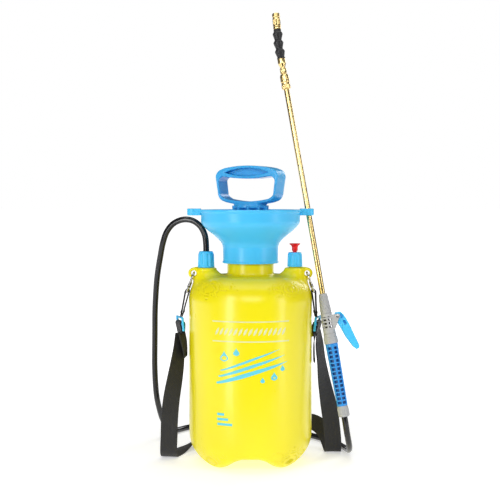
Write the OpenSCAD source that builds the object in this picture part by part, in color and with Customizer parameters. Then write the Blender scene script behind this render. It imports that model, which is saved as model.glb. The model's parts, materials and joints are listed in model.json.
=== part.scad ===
// Five-litre hand-pumped garden sprayer with a shoulder strap, a hose and a telescopic brass lance.
// Millimetres. Origin: on the tank's axis at the floor. +Z up, +X towards the lance, -Y is the front.

/* [Tank] */
// Outer radius of the tank
tank_r = 90; // [88:1:92]
// Wall of the blow-moulded tank
tank_wall = 2.6; // [2:0.2:3]
// Height where the straight wall turns into the shoulder
shoulder_z = 238; // [230:1:245]
// Outer radius of the filling neck
neck_r = 34; // [33.5:0.1:34]
// Depth of the cross-shaped valley between the four feet
valley_h = 18; // [12:1:20]
// Distance of the two outlet bosses from the axis
boss_x = 65; // [63:1:67]

/* [Pump] */
// Outer radius of the pump cylinder
cylinder_r = 21.5; // [20:0.5:22]
// Outer radius of the piston rod
rod_r = 6; // [5:0.5:6]
// Turn of the handle about the pump axis
handle_yaw = -27; // [-90:1:90]
// Outer width of the handle loop
handle_w = 101; // [90:1:110]
// Depth of the handle loop, front to back
handle_d = 30; // [24:1:34]

/* [Lance] */
// Lean of the lance from the vertical
lance_tilt = 9.8; // [9:0.1:10.5]
// Lean of the lance towards the back, which takes its top clear of the pump
lance_back = 6; // [5.5:0.1:6.5]
// Radius of the outer lance tube
tube_r = 4; // [3.8:0.1:4.2]
// How much less the nozzle leans than the lance
nozzle_bend = 4.8; // [0:0.1:6]

/* [Hose and strap] */
// Radius of the hose
hose_r = 4.5; // [4:0.1:4.8]
// Width of the webbing
strap_w = 25; // [20:1:25]
// Thickness of the webbing
strap_t = 1.6; // [1.2:0.1:2]

/* [Hidden] */
$fn = 64;

yellow = [0.96, 0.90, 0.02];
sky_blue = [0.25, 0.68, 0.95];
deep_blue = [0.16, 0.50, 0.86];
brass = [0.80, 0.68, 0.38];
grey = [0.60, 0.61, 0.62];
black = [0.10, 0.10, 0.10];
nickel = [0.75, 0.75, 0.76];
red = [0.86, 0.10, 0.10];
white = [0.92, 0.92, 0.90];

// Clearance between pieces that move past each other without guiding each other
gap = 0.3;
// Clearance of a running fit
run = 0.05;

// Base rounding and shoulder rounding of the tank, as the centres and radii of their arcs
base_arc_r = 60;
base_arc_z = 46;
shoulder_arc_r = 36;
neck_foot_z = 279;
neck_top = 312;
neck_bore_r = 29.5;
boss_top = 285;
boss_r = 15.5;
outlet_bore_r = 6;
stub_r = 8.6;
lug_hole_x = 83;
lug_hole_z = 277;
lug_hole_r = 4;
lug_t = 8;

collar_r = 40.2;
collar_bottom = 292;
throat_z = 318;
funnel_wall = 2.6;
rim_z = 370;
ear_x = 84.5;
ear_z = 366.5;
ear_t = 10;
ear_bore_r = 5.3;

cap_flange_z = 320;
cap_top = 338;
cylinder_bottom = 62;
piston_z = 72;
cup_r = cylinder_r - 2 - run;

handle_top = 434;
handle_base_z = 342;
handle_pin_z = 352;

// Heights along the lance axis, measured from the clip in the funnel's ear
nozzle_pivot_u = 253.2;
inner_tube_top = 216;
tube_top = 196;
tube_bottom = -140;
body_top = -150;
body_bottom = -180;
collar_u = -194.5;
grip_bottom = -285.8;
gun_end = -301.5;
trigger_pivot = [15, -157];

// ---------- shared shapes ----------

function arc(c, r, a0, a1, n) =
    [for (i = [0:n]) let (a = a0 + (a1 - a0) * i / n) [c[0] + r * cos(a), c[1] + r * sin(a)]];

function smooth(t) = let (c = min(1, max(0, t))) c * c * (3 - 2 * c);

function unit(v) = v / norm(v);

module ring(ro, ri, z0, z1) {
    difference() {
        translate([0, 0, z0]) cylinder(r = ro, h = z1 - z0);
        translate([0, 0, z0 - 1]) cylinder(r = ri, h = z1 - z0 + 2);
    }
}

module rod(r, z0, z1) {
    translate([0, 0, z0]) cylinder(r = r, h = z1 - z0);
}

// Vertical grooves round a nut
module flutes(count, at_r, r, z0, z1) {
    for (i = [0:count - 1])
        rotate([0, 0, i * 360 / count]) translate([at_r, 0, z0]) cylinder(r = r, h = z1 - z0, $fn = 24);
}

function tangent(p, i) =
    unit(p[min(i + 1, len(p) - 1)] - p[max(i - 1, 0)]);

function across(p, side, i) =
    let (t = tangent(p, i), s = side[i]) unit(s - (s * t) * t);

// Solid swept along a route: the same cross-section at each point, as corners [across, along the normal].
// side holds the direction of "across" at each point, before it is squared to the route.
module sweep(p, side, section) {
    n = len(section);
    points = [for (i = [0:len(p) - 1])
        let (t = tangent(p, i), a = across(p, side, i), b = cross(t, a))
        for (c = section) p[i] + c[0] * a + c[1] * b];
    walls = [for (i = [0:len(p) - 2], k = [0:n - 1])
        let (k2 = (k + 1) % n) each [
            [i * n + k, (i + 1) * n + k, i * n + k2],
            [i * n + k2, (i + 1) * n + k, (i + 1) * n + k2]]];
    start_cap = [for (k = [0:n - 1]) k];
    end_cap = [for (k = [n - 1:-1:0]) (len(p) - 1) * n + k];
    polyhedron(points = points, faces = concat(walls, [start_cap, end_cap]));
}

// A sideways direction carried along the route with the least twist
function carried(p, s, i = 0) =
    i >= len(p) ? [] : let (t = tangent(p, i), a = unit(s - (s * t) * t)) concat([a], carried(p, a, i + 1));

module tube_along(p, r, sides, start_side) {
    section = [for (k = [0:sides - 1]) r * [cos(k * 360 / sides), sin(k * 360 / sides)]];
    sweep(p, carried(p, start_side), section);
}

// Closed wire coil of a compression spring
module coil_spring(coil_r, wire_r, z0, z1, turns) {
    steps = 12 * turns;
    p = [for (i = [0:steps]) let (a = 30 * i)
        [coil_r * cos(a), coil_r * sin(a), z0 + wire_r + (z1 - z0 - 2 * wire_r) * i / steps]];
    tube_along(p, wire_r, 6, [1, 0, 0]);
}

// ---------- routes of the hose and the strap ----------

hose_start = [
    [-65, 0, 300], [-65, 0, 318], [-67, 1, 333], [-74, 3, 346], [-86, 7, 354], [-100, 11, 355],
    [-114, 16, 349], [-124, 21, 337], [-130, 26, 321], [-135, 33, 298], [-140, 40, 270], [-143, 48, 242],
    [-145, 56, 214], [-146, 64, 186], [-147, 72, 158], [-148, 81, 130], [-148, 91, 102], [-147, 103, 76],
    [-144, 119, 52], [-140, 138, 31], [-133, 160, 14], [-122, 183, 6], [-106, 207, 5], [-87, 224, 5],
    [-63, 234, 5], [-38, 237, 5]
];
loop_centre = [-10, 183];
loop_r = 53;
loop_steps = 18;
// One turn of the loop: it leaves the start level and climbs over it where it closes
hose_loop = [for (i = [0:loop_steps]) let (a = 97 - i * 400 / loop_steps, u = i / loop_steps)
    [loop_centre[0] + loop_r * cos(a), loop_centre[1] + loop_r * sin(a),
     5 + 9.6 * smooth((u - 0.62) / 0.2)]];
hose_end = [
    [37, 215, 14], [54, 200, 11], [70, 181, 7], [86, 161, 5], [102, 141, 5], [117, 120, 5], [130, 99, 5],
    [138, 79, 5], [142.5, 60, 6], [145.5, 43, 7], [146.5, 27, 9], [146.5, 12, 12.5], [146, -2, 18],
    [144.5, -14, 26], [142, -24, 37], [139.5, -30.5, 49], [137.4, -32, 62]
];
hose_exit = gun_point(0, gun_end + 9);
hose_route = concat(hose_start, hose_loop, hose_end, [hose_exit]);

// Webbing: each row is a centre point and the direction that the width lies along
strap_rows = [
    [[-105, -3, 190], [0.35, 1, 0]], [[-105, -4, 170], [0.6, 0.9, 0]], [[-107, -5, 148], [0.8, 0.7, 0]],
    [[-111, -6, 122], [1, 0.5, 0]], [[-116, -7, 92], [1, 0.25, 0]], [[-119, -6, 62], [1, 0.1, 0]],
    [[-120, -4, 34], [1, 0, 0]], [[-121, 0, 14], [1, 0, 0]], [[-121, 10, 4], [1, -0.1, 0]],
    [[-118, 26, 1], [1, -0.3, 0]], [[-111, 46, 1.2], [1, -0.45, 0]], [[-100, 66, 5], [1, -0.7, 0.3]],
    [[-86, 84, 12], [0.7, -0.5, 0.9]], [[-66, 97, 18], [0.2, -0.2, 1]], [[-40, 103, 22], [0, 0, 1]],
    [[-10, 105, 28], [0, 0, 1]], [[22, 104, 34], [0, 0, 1]], [[52, 100, 38], [0, 0, 1]],
    [[80, 93, 40], [0, 0, 1]], [[101, 83, 38], [0.15, 0.1, 1]], [[114, 72, 28], [0.5, 0.25, 0.8]],
    [[121, 62, 13], [0.9, 0.3, 0.4]], [[124, 53, 4], [1, 0.1, 0.05]], [[125, 46, 2.5], [1, 0, 0]],
    [[125, 41, 7], [1, 0, 0]], [[125, 38, 18], [1, 0, 0]], [[123, 32, 38], [1, 0, 0]],
    [[119, 24, 66], [1, 0.1, 0]], [[114, 18, 92], [0.9, 0.45, 0]], [[109, 14, 118], [0.75, 0.7, 0]],
    [[105, 10, 146], [0.55, 0.85, 0]], [[102, 7, 170], [0.5, 0.87, 0]], [[100, 3, 190], [0.3, 0.95, 0]]
];
tail_left_rows = [
    [[-101, -4, 190], [0.35, 1, 0]], [[-98, -4, 178], [0.3, 1, 0]], [[-96, -4, 166], [0.2, 1, 0]],
    [[-95, -4, 154], [0.1, 1, 0]]
];
tail_right_rows = [
    [[95, -1, 190], [0.25, 1, 0]], [[93.4, -2, 175], [0.05, 1, 0]], [[93.2, -3, 160], [0, 1, 0]],
    [[93.6, -4, 146], [0, 1, 0]]
];

module webbing(rows) {
    section = [[-strap_w / 2, -strap_t / 2], [strap_w / 2, -strap_t / 2],
               [strap_w / 2, strap_t / 2], [-strap_w / 2, strap_t / 2]];
    sweep([for (r = rows) r[0]], [for (r = rows) r[1]], section);
}

// ---------- tank ----------

function tank_profile(inset) = let (
    base_r = base_arc_r - inset,
    base_x = tank_r - base_arc_r,
    floor_angle = -asin((base_arc_z - inset) / base_r),
    top_x = tank_r - shoulder_arc_r)
    concat([[0, inset]],
           arc([base_x, base_arc_z], base_r, floor_angle, 0, 8),
           arc([top_x, shoulder_z], shoulder_arc_r - inset, 0, 90, 8));

// The cross-shaped valley that leaves four feet
module valleys(grow) {
    for (turn = [0, 90])
        rotate([0, 0, turn]) translate([-tank_r - 5, 0, 0]) rotate([90, 0, 90])
            linear_extrude(2 * tank_r + 10)
                polygon([[-38 - grow, -1], [38 + grow, -1], [17 + grow / 2, valley_h + grow],
                         [-17 - grow / 2, valley_h + grow]]);
}

module lug() {
    rotate([90, 0, 0]) translate([0, 0, -lug_t / 2]) linear_extrude(lug_t)
        polygon(concat([[boss_x, boss_top - 1]], arc([lug_hole_x, lug_hole_z], 8.2, 75, -80, 10),
                       [[80, 262], [78, 250], [boss_x, 240]]));
}

module outlet_boss() {
    translate([boss_x, 0, 240]) cylinder(r = boss_r, h = boss_top - 240);
    hull() {
        translate([boss_x, 0, boss_top - 3]) cylinder(r = boss_r, h = 1, $fn = 32);
        translate([boss_x - 11, 0, 252]) cylinder(r = 31, h = 1, $fn = 32);
    }
    lug();
}

module tank_shell() {
    color(yellow) difference() {
        union() {
            difference() {
                rotate_extrude() polygon(concat(tank_profile(0),
                    [[neck_r, neck_foot_z], [neck_r, neck_top], [0, neck_top]]));
                valleys(0);
            }
            outlet_boss();
            mirror([1, 0, 0]) outlet_boss();
            // Threaded stubs that the outlet nut and the relief cap screw onto
            translate([-boss_x, 0, 0]) rod(stub_r, boss_top - 1, boss_top + 6);
            translate([boss_x, 0, 0]) rod(stub_r, boss_top - 1, boss_top + 4);
            for (z = [296, 301, 306]) ring(neck_r + 1.2, neck_r - 1, z, z + 2);
            // Lance rest on the side of the tank
            translate([tank_r - 4, 2, 183]) cube([8.2, 12, 17]);
        }
        difference() {
            rotate_extrude() polygon(concat(tank_profile(tank_wall), [[0, shoulder_z + 33.4]]));
            valleys(tank_wall);
        }
        rod(neck_bore_r, shoulder_z, neck_top + 1);
        for (side = [-1, 1]) {
            translate([side * boss_x, 0, 0]) rod(outlet_bore_r, 230, boss_top + 8);
            translate([side * lug_hole_x, 0, lug_hole_z]) rotate([90, 0, 0])
                translate([0, 0, -20]) cylinder(r = lug_hole_r, h = 40);
        }
    }
}

module neck_seal() {
    color(black) ring(neck_r - 0.5, neck_bore_r + 0.3, neck_top, neck_top + 2);
}

// ---------- funnel ----------

function bowl_r(z) = collar_r + 0.8 + 31.4 * smooth((z - 316) / 38);

bowl_outline = concat([for (z = [319:4:355]) [bowl_r(z), z]], [[72.8, rim_z - 5], [75, rim_z - 3]]);

module funnel() {
    bowl_inside = [for (i = [9:-1:0])
        [bowl_outline[i][0] - funnel_wall, max(throat_z, bowl_outline[i][1] + 1)]];
    color(sky_blue) rotate_extrude() polygon(concat(
        [[neck_bore_r + 0.3, neck_top + 2], [neck_r + 1.7, neck_top + 2], [neck_r + 1.7, collar_bottom],
         [collar_r + 1, collar_bottom], [collar_r + 1, collar_bottom + 2], [collar_r, collar_bottom + 3],
         [collar_r + 0.4, 315]],
        bowl_outline,
        [[75, rim_z], [70.2, rim_z], [70.2, rim_z - 12]],
        bowl_inside,
        [[35, throat_z], [neck_bore_r + 0.3, throat_z]]));
}

// Spring clip on the funnel's rim for the lance tube: an arm with an open ring at its end
module lance_clip(side) {
    color(sky_blue) scale([side, 1, 1]) difference() {
        union() {
            translate([ear_x, 0, ear_z - ear_t / 2]) cylinder(r = 9, h = ear_t);
            translate([68, -9, ear_z - ear_t / 2]) cube([ear_x - 68, 18, ear_t]);
        }
        translate([ear_x, 0, ear_z - ear_t]) cylinder(r = ear_bore_r, h = 2 * ear_t);
        translate([ear_x, -3.3, ear_z - ear_t]) cube([20, 6.6, 2 * ear_t]);
        // The arm ends on the outside of the bowl
        rotate_extrude() polygon(concat([[0, 319]], bowl_outline, [[75, rim_z + 5], [0, rim_z + 5]]));
    }
}

// ---------- pump ----------

module pump_cap_seal() {
    color(black) ring(33, neck_bore_r + 0.4, throat_z, cap_flange_z);
}

module pump_cap() {
    color(deep_blue) difference() {
        union() {
            rod(neck_bore_r - 0.3, 296, cap_flange_z);
            rod(33.5, cap_flange_z, cap_flange_z + 7);
            rod(15, cap_flange_z, cap_top);
            for (i = [0:11]) rotate([0, 0, 30 * i]) translate([14, -1.2, 326]) cube([18, 2.4, 6]);
        }
        rod(cylinder_r + 0.2, 295, 312);
        rod(rod_r + 1, 295, cap_top + 1);
        rod(9, 328, cap_top + 1);
        flutes(24, 34.2, 1.6, cap_flange_z - 1, cap_flange_z + 8);
    }
}

module rod_guide_bush() {
    color(white) ring(9, rod_r + run, 328, cap_top);
}

module pump_cylinder() {
    color(white) difference() {
        rod(cylinder_r, cylinder_bottom, 312);
        rod(cylinder_r - 2, cylinder_bottom + 4, 313);
        rod(2, cylinder_bottom - 1, cylinder_bottom + 5);
        for (i = [0:5]) rotate([0, 0, 60 * i]) translate([7.5, 0, 0])
            rod(2, cylinder_bottom - 1, cylinder_bottom + 5);
    }
}

module check_valve() {
    color(black) {
        rod(12, cylinder_bottom - 2, cylinder_bottom);
        rod(1.9, cylinder_bottom - 1, cylinder_bottom + 5);
        rod(3.2, cylinder_bottom + 4, cylinder_bottom + 6.5);
    }
}

module piston() {
    color(white) difference() {
        union() {
            rod(15, piston_z, piston_z + 16);
            rod(cup_r - 0.6, piston_z, piston_z + 3);
            rod(cup_r - 0.6, piston_z + 13, piston_z + 16);
        }
        rod(rod_r - 1 + run, piston_z + 4, piston_z + 17);
    }
}

module piston_cup() {
    color(black) ring(cup_r, 15, piston_z + 3, piston_z + 13);
}

module piston_rod() {
    color(white) {
        rod(rod_r - 1, piston_z + 4 + gap, piston_z + 16 + gap);
        difference() {
            rod(rod_r, piston_z + 16 + gap, 362);
            translate([0, 0, handle_pin_z]) rotate([90, 0, 0])
                translate([0, 0, -10]) cylinder(r = 2, h = 20);
        }
    }
}

// Outline of the handle loop: rounded corners, a bowed top and a sagging bottom
module handle_outline() {
    half_w = handle_w / 2;
    polygon(concat(
        arc([0, handle_top - 190], 190, 79, 101, 8),
        arc([-half_w + 12, 417], 12, 115, 180, 4),
        arc([-half_w + 17, 395], 13.5, 180, 245, 4),
        arc([0, 377 + 150], 150, 257, 283, 8),
        arc([half_w - 17, 395], 13.5, 295, 360, 4),
        arc([half_w - 12, 417], 12, 0, 65, 4)));
}

module handle_window() {
    half_w = handle_w / 2 - 5;
    polygon(concat(
        arc([0, 415 + 230], 230, 260, 280, 8),
        arc([half_w - 6, 411], 6, 60, 0, 3),
        arc([half_w - 10, 395], 8, 0, -60, 3),
        arc([0, 382 + 170], 170, 282, 258, 8),
        arc([-half_w + 10, 395], 8, 240, 180, 3),
        arc([-half_w + 6, 411], 6, 180, 120, 3)));
}

// Lens-shaped pocket in each face of the hand grip
module grip_pocket() {
    intersection() {
        translate([0, 430.5 - 100]) circle(r = 100, $fn = 96);
        translate([0, 418.5 + 118]) circle(r = 118, $fn = 96);
    }
}

module pump_handle() {
    color(deep_blue) rotate([0, 0, handle_yaw]) difference() {
        union() {
            rotate([90, 0, 0]) translate([0, 0, -handle_d / 2]) linear_extrude(handle_d) difference() {
                handle_outline();
                handle_window();
            }
            rod(13, handle_base_z, 379);
            rod(24, 372, 377);
            for (i = [0:9]) rotate([0, 0, 36 * i]) translate([10, -1.5, handle_base_z + 4]) cube([17, 3, 30]);
        }
        for (side = [-1, 1]) translate([0, side * (handle_d / 2 - 4.5), 0]) rotate([90, 0, 0])
            translate([0, 0, -5.5]) linear_extrude(11) grip_pocket();
        rod(rod_r, handle_base_z - 1, 362);
        translate([0, 0, handle_pin_z]) rotate([90, 0, 0]) translate([0, 0, -20]) cylinder(r = 2, h = 40);
    }
}

module handle_pin() {
    color(nickel) rotate([0, 0, handle_yaw]) translate([0, 0, handle_pin_z]) rotate([90, 0, 0])
        translate([0, 0, -12.8]) cylinder(r = 2, h = 25.6);
}

// ---------- liquid outlet ----------

module outlet_fitting() {
    color(white) translate([-boss_x, 0, 0]) difference() {
        union() {
            rod(4, 262, 270);
            rod(outlet_bore_r, 268, boss_top + 8);
            rod(stub_r, boss_top + 7.5, boss_top + 10);
            rod(5.4, boss_top + 10, hose_start[0][2]);
        }
        rod(2.5, 261, 300);
    }
}

module outlet_seal() {
    color(black) translate([-boss_x, 0, 0]) ring(stub_r, outlet_bore_r, boss_top + 6, boss_top + 7.5);
}

module hose_outlet_nut() {
    color(sky_blue) translate([-boss_x, 0, 0]) difference() {
        rotate_extrude() polygon([[9.2, 285.5], [12.4, 285.5], [11.6, 306], [9.8, 309], [5, 309], [5, 302],
                                  [9.2, 297]]);
        flutes(10, 13.2, 1.8, 287, 311);
    }
}

module dip_tube() {
    color(white) translate([-boss_x, 0, 0]) ring(3.9, 2.5, 38, 262);
}

module dip_strainer() {
    color(deep_blue) translate([-boss_x, 0, 0]) difference() {
        union() {
            rod(6, 26, 38);
            ring(6, 4.2, 38, 44);
        }
        rod(3, 28, 39);
        for (i = [0:2]) rotate([0, 0, 60 * i]) translate([-7, -0.8, 29]) cube([14, 1.6, 7]);
    }
}

// ---------- pressure relief valve ----------

module relief_body() {
    color(white) translate([boss_x, 0, 0]) difference() {
        union() {
            rod(outlet_bore_r, 266, boss_top + 5);
            rod(stub_r, boss_top + 5, boss_top + 7);
        }
        rod(2.4, 265, 294);
    }
}

module relief_seal_ring() {
    color(black) translate([boss_x, 0, 0]) ring(stub_r, outlet_bore_r, boss_top + 4, boss_top + 5);
}

module relief_cap() {
    color(sky_blue) translate([boss_x, 0, 0]) difference() {
        rotate_extrude() polygon([[9, 286.5], [11.2, 286.5], [10.6, 305], [9.2, 307.5], [3.4, 307.5],
                                  [3.4, 304.5], [9, 304.5]]);
        flutes(10, 11.9, 1.5, 288, 309);
    }
}

module relief_spring() {
    color(nickel) translate([boss_x, 0, 0]) coil_spring(4.4, 0.5, 295.2, 304.3, 4);
}

module relief_disc() {
    color(black) translate([boss_x, 0, 0]) rod(4.4, boss_top + 7 + gap, 293.5);
}

module relief_knob() {
    color(red) translate([boss_x, 0, 0]) rotate_extrude() polygon(concat(
        [[0, 293.5], [5.4, 293.5], [5.4, 295], [3, 295], [3, 309], [4.4, 310], [4.4, 313]],
        arc([9.6, 313.8], 5.3, 171, 113, 4), [[8, 319.5], [8, 320.5], [0, 320.5]]));
}

// ---------- spray gun and lance, built along the lance axis ----------

// A point v millimetres out from the lance axis and u up it
function gun_point(v, u) = let (rise = v * sin(lance_tilt) + u * cos(lance_tilt))
    [ear_x + v * cos(lance_tilt) - u * sin(lance_tilt), rise * sin(lance_back), ear_z + rise * cos(lance_back)];

module on_lance() {
    translate([ear_x, 0, ear_z]) rotate([-lance_back, 0, 0]) rotate([0, -lance_tilt, 0]) children();
}

module on_nozzle() {
    on_lance() translate([0, 0, nozzle_pivot_u]) rotate([0, nozzle_bend, 0]) translate([0, 0, -nozzle_pivot_u])
        children();
}

module hose() {
    color(black) tube_along(hose_route, hose_r, 10, [0, 1, 0]);
}

module grip_end_nut() {
    color(grey) on_lance() difference() {
        rotate_extrude() polygon([[5, gun_end], [7.2, gun_end], [8.2, gun_end + 2], [8.2, gun_end + 12],
            [7.4, grip_bottom], [5, grip_bottom]]);
        flutes(16, 8.6, 0.9, gun_end + 2, gun_end + 12);
    }
}

module grip() {
    window_rows = 12;
    color(deep_blue) on_lance() difference() {
        translate([0, 0, grip_bottom]) cylinder(r1 = 7.7, r2 = 9.2, h = collar_u - grip_bottom);
        rod(5.2, grip_bottom - 1, collar_u + 1);
        for (face = [0, 180], side = [-1, 1], i = [0:window_rows - 1])
            rotate([0, 0, face + side * 28]) translate([-2.6, -10, grip_bottom + 5 + i * 6.9])
                cube([5.2, 3.6, 4.4]);
    }
}

module grip_filter() {
    color(white) on_lance() ring(4.6, 3.4, grip_bottom + 4, collar_u - 6);
}

module grip_collar() {
    color(grey) on_lance() difference() {
        union() {
            rod(10.2, collar_u, collar_u + 10);
            rod(9.4, collar_u + 10, body_bottom);
        }
        rod(5.2, collar_u - 1, body_bottom + 1);
        flutes(20, 10.6, 0.8, collar_u + 1, collar_u + 9);
    }
}

module gun_body() {
    color(grey) on_lance() difference() {
        union() {
            rod(9, body_bottom, body_top);
            // Two cheeks that carry the trigger
            for (side = [-1, 1]) translate([0, side * 6.2, 0]) rotate([90, 0, 0]) translate([0, 0, -1.6])
                linear_extrude(3.2) polygon(concat([[0, body_bottom + 4]],
                    [[9, body_bottom + 6]], arc(trigger_pivot, 4.6, -60, 120, 6), [[0, body_top - 2]]));
        }
        rod(4.4, body_bottom + 4, body_top + 1);
        rod(3, body_bottom - 1, body_bottom + 5);
        // Slot for the trigger's nose
        translate([0, -4.3, body_bottom + 6]) cube([12, 8.6, 22]);
        translate([trigger_pivot[0], 0, trigger_pivot[1]]) rotate([90, 0, 0])
            translate([0, 0, -12]) cylinder(r = 1.5, h = 24);
        for (side = [-1, 1], z = [-175, -171, -167, -163])
            translate([-11, side * 8.6 - 1, z]) cube([22, 2, 1.6]);
    }
}

// The lever: a tapering blade from the pivot down to its tip, and a nose that moves the plunger
module trigger() {
    color(sky_blue) on_lance() difference() {
        union() {
            rotate([90, 0, 0]) translate([0, 0, -4]) linear_extrude(8) polygon([
                [6.2, -158.3], [11, -154], [13.5, -151.5], [18.5, -151.5], [21.5, -156], [26, -170],
                [31, -188], [36, -205], [35.5, -207.5], [33, -208], [30.5, -203], [25, -188], [17.5, -168],
                [13.5, -161.5], [6.2, -160.3]]);
            rotate([90, 0, 0]) translate([0, 0, -7]) linear_extrude(14) polygon([
                [21.8, -164], [26, -170], [31, -188], [36, -205], [35.5, -207.5], [33, -208], [30.5, -203],
                [25, -188], [20, -172]]);
        }
        translate([trigger_pivot[0], 0, trigger_pivot[1]]) rotate([90, 0, 0])
            translate([0, 0, -12]) cylinder(r = 1.5 + run, h = 24);
    }
}

module trigger_pin() {
    color(nickel) on_lance() translate([trigger_pivot[0], 0, trigger_pivot[1]]) rotate([90, 0, 0])
        translate([0, 0, -8.6]) cylinder(r = 1.5, h = 17.2);
}

module valve_plunger() {
    color(nickel) on_lance() {
        rod(1.6, -175.7, -146);
        rod(4, -165, -162.2);
        rod(4, -156.4, -155.2);
    }
}

module trigger_spring() {
    color(nickel) on_lance() coil_spring(3, 0.4, -155, -140.2, 5);
}

module lance_nut() {
    color(grey) on_lance() difference() {
        rotate_extrude() polygon([[4.4, body_top], [7.4, body_top], [7, body_top + 8], [5.4, body_top + 29],
            [tube_r, body_top + 29], [tube_r, tube_bottom], [4.4, tube_bottom]]);
        for (z = [-147:3.2:-124])
            rotate_extrude() translate([8.6 - (z + 150) * 0.06, z]) square([3, 1.4], center = true);
    }
}

module lance_tube() {
    color(brass) on_lance() ring(tube_r, tube_r - 0.6, tube_bottom, tube_top);
}

module lance_inner_tube() {
    color(brass) on_lance() ring(tube_r - 0.6 - run, 2.6, -64, inner_tube_top);
}

module telescope_seal() {
    color(black) on_lance() ring(5.2, tube_r - 0.6, tube_top + 0.5, tube_top + 2.5);
}

module lock_nut() {
    color(brass) on_lance() difference() {
        rotate_extrude() polygon([
            [tube_r + run, 184], [5.4, 184], [6.5, 185.5], [6.5, 190], [6, 191], [6, 194], [6.5, 195],
            [6.5, 203.5], [5.2, 206.4], [tube_r - 0.6 + gap, 206.4], [tube_r - 0.6 + gap, tube_top + 3],
            [5.4, tube_top + 3], [5.4, tube_top + 0.3], [tube_r + run, tube_top + 0.3]]);
        rotate([90, 0, 0]) for (x = [-2.6, 2.6]) translate([x, 198.6, 5]) cylinder(r = 0.8, h = 6, $fn = 24);
        flutes(18, 6.9, 0.7, 185, 191);
    }
}

module nozzle_collar() {
    color(brass) on_lance() difference() {
        rod(4.8, 207.8, 213.8);
        rod(tube_r - 0.6 - run, 207, 215);
    }
}

module nozzle_adapter() {
    color(brass) on_lance() difference() {
        union() {
            translate([0, 0, 216]) cylinder(r1 = 3.6, r2 = 5.8, h = 6);
            rod(5.8, 222, 230);
            rod(4.8, 213.8, 216);
            rod(3.4, 229, 238);
        }
        rod(1.6, 215.5, 239);
        rod(tube_r - 0.6 - run, 213, inner_tube_top);
    }
}

module flex_bellows() {
    color(black) on_lance() rotate_extrude() polygon(concat(
        [[3.4, 230], [6, 230]],
        [for (i = [0:2]) each [[5.2, 232.5 + 13.3 * i], [7.4, 240.3 + 13.3 * i], [7.4, 242 + 13.3 * i],
                               [5.2, 244.5 + 13.3 * i]]],
        [[5.6, 274.4], [0, 274.4], [0, 238.3], [3.4, 238.3]]));
}

module nozzle_body() {
    color(brass) on_nozzle() difference() {
        union() {
            rod(4.4, 274.8, 286);
            rod(5.6, 274.8, 278);
        }
        rod(1.2, 274, 287);
    }
}

module nozzle_seal() {
    color(black) on_nozzle() ring(4.9, 4.4, 281, 283);
}

module nozzle_cap() {
    color(brass) on_nozzle() difference() {
        rotate_extrude() polygon([[4.4 + run + 0.5, 278.6], [5.7, 278.6], [5.7, 290], [5.2, 291], [5.2, 292.4],
            [5.7, 293.4], [5.7, 297], [4.9, 298.4], [0.6, 298.4], [0.6, 294], [4.95, 288]]);
        flutes(16, 6, 0.6, 279.6, 289);
    }
}

// ---------- strap fittings ----------

// Frame of the fittings on one side: the strap hook hangs from the lug hole, leaning outwards
hang_lean = 20;

module hanging(side) {
    translate([side * lug_hole_x, 0, lug_hole_z]) rotate([0, -side * hang_lean, 0]) children();
}

hook_r = 9;
wire_r = 1.6;
hook_drop = hook_r - 0.9;
eye_drop = 28.4;
eye_x = lug_hole_x + eye_drop * sin(hang_lean);
eye_z = lug_hole_z - eye_drop * cos(hang_lean);

// The right side hangs straighter, behind the spray gun
function loop_lean(side) = side < 0 ? 13 : 5;
function buckle_x(side) = side < 0 ? 103 : 98;

// Wire hook through the lug, with a swivel stem and a rectangular eye for the webbing
module snap_hook(side) {
    color(nickel) hanging(side) {
        difference() {
            translate([0, 0, -hook_drop]) rotate([0, 90, 0])
                rotate_extrude() translate([hook_r, 0]) circle(r = wire_r, $fn = 24);
            translate([0, 0, -hook_drop]) rotate([0, 90, 0]) rotate([0, 0, 20])
                rotate_extrude(angle = 62) translate([hook_r, 0]) square([8, 8], center = true);
        }
        rod(2.6, -22.5, -hook_drop - hook_r);
        translate([0, 0, -21.6]) rotate([90, 0, 0]) translate([0, 0, -14]) cylinder(r = wire_r, h = 28);
        for (end = [-1, 1]) translate([0, end * 14, -eye_drop]) rod(wire_r, 0, 6.8);
        translate([0, 0, -eye_drop]) rotate([90, 0, 0]) translate([0, 0, -14]) cylinder(r = wire_r, h = 28);
        for (end = [-1, 1], z = [-21.6, -eye_drop]) translate([0, end * 14, z]) sphere(r = wire_r, $fn = 24);
    }
}

// The gate swings inwards about the knuckle at its lower end
module hook_gate(side) {
    color(nickel) hanging(side) translate([0, 0, -hook_drop]) rotate([0, 90, 0]) rotate([0, 0, 33]) {
        rotate_extrude(angle = 37) translate([hook_r, 0]) circle(r = wire_r - 0.2, $fn = 24);
        translate([hook_r, 0, -1.6]) cylinder(r = 1.5, h = 3.2, $fn = 24);
    }
}

// Webbing folded round the eye's lower bar and closed above the buckle
module webbing_loop(side) {
    color(black) translate([side * eye_x, 0, eye_z]) rotate([0, -side * loop_lean(side), 0])
        translate([0, strap_w / 2, 0]) rotate([90, 0, 0]) linear_extrude(strap_w) difference() {
            hull() {
                circle(r = 1.9 + strap_t, $fn = 32);
                translate([0, -33]) circle(r = strap_t + 0.4, $fn = 32);
            }
            hull() {
                circle(r = 1.9, $fn = 32);
                translate([0, -33]) circle(r = 0.4, $fn = 32);
            }
        }
}

module buckle(side) {
    color(deep_blue) translate([side * buckle_x(side), 0, 203]) rotate([0, side * 6, -16]) difference() {
        union() {
            translate([-1.8, -15.5, -10.5]) cube([3.6, 31, 21]);
            translate([-2.4, -14, -1.8]) cube([4.8, 28, 3.6]);
        }
        for (z = [-8, 1.8]) translate([-3, -12.8, z]) cube([6, 25.6, 6.2]);
    }
}

module shoulder_strap() {
    color(black) webbing(strap_rows);
}

module strap_tail(rows) {
    color(black) webbing(rows);
}

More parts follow.
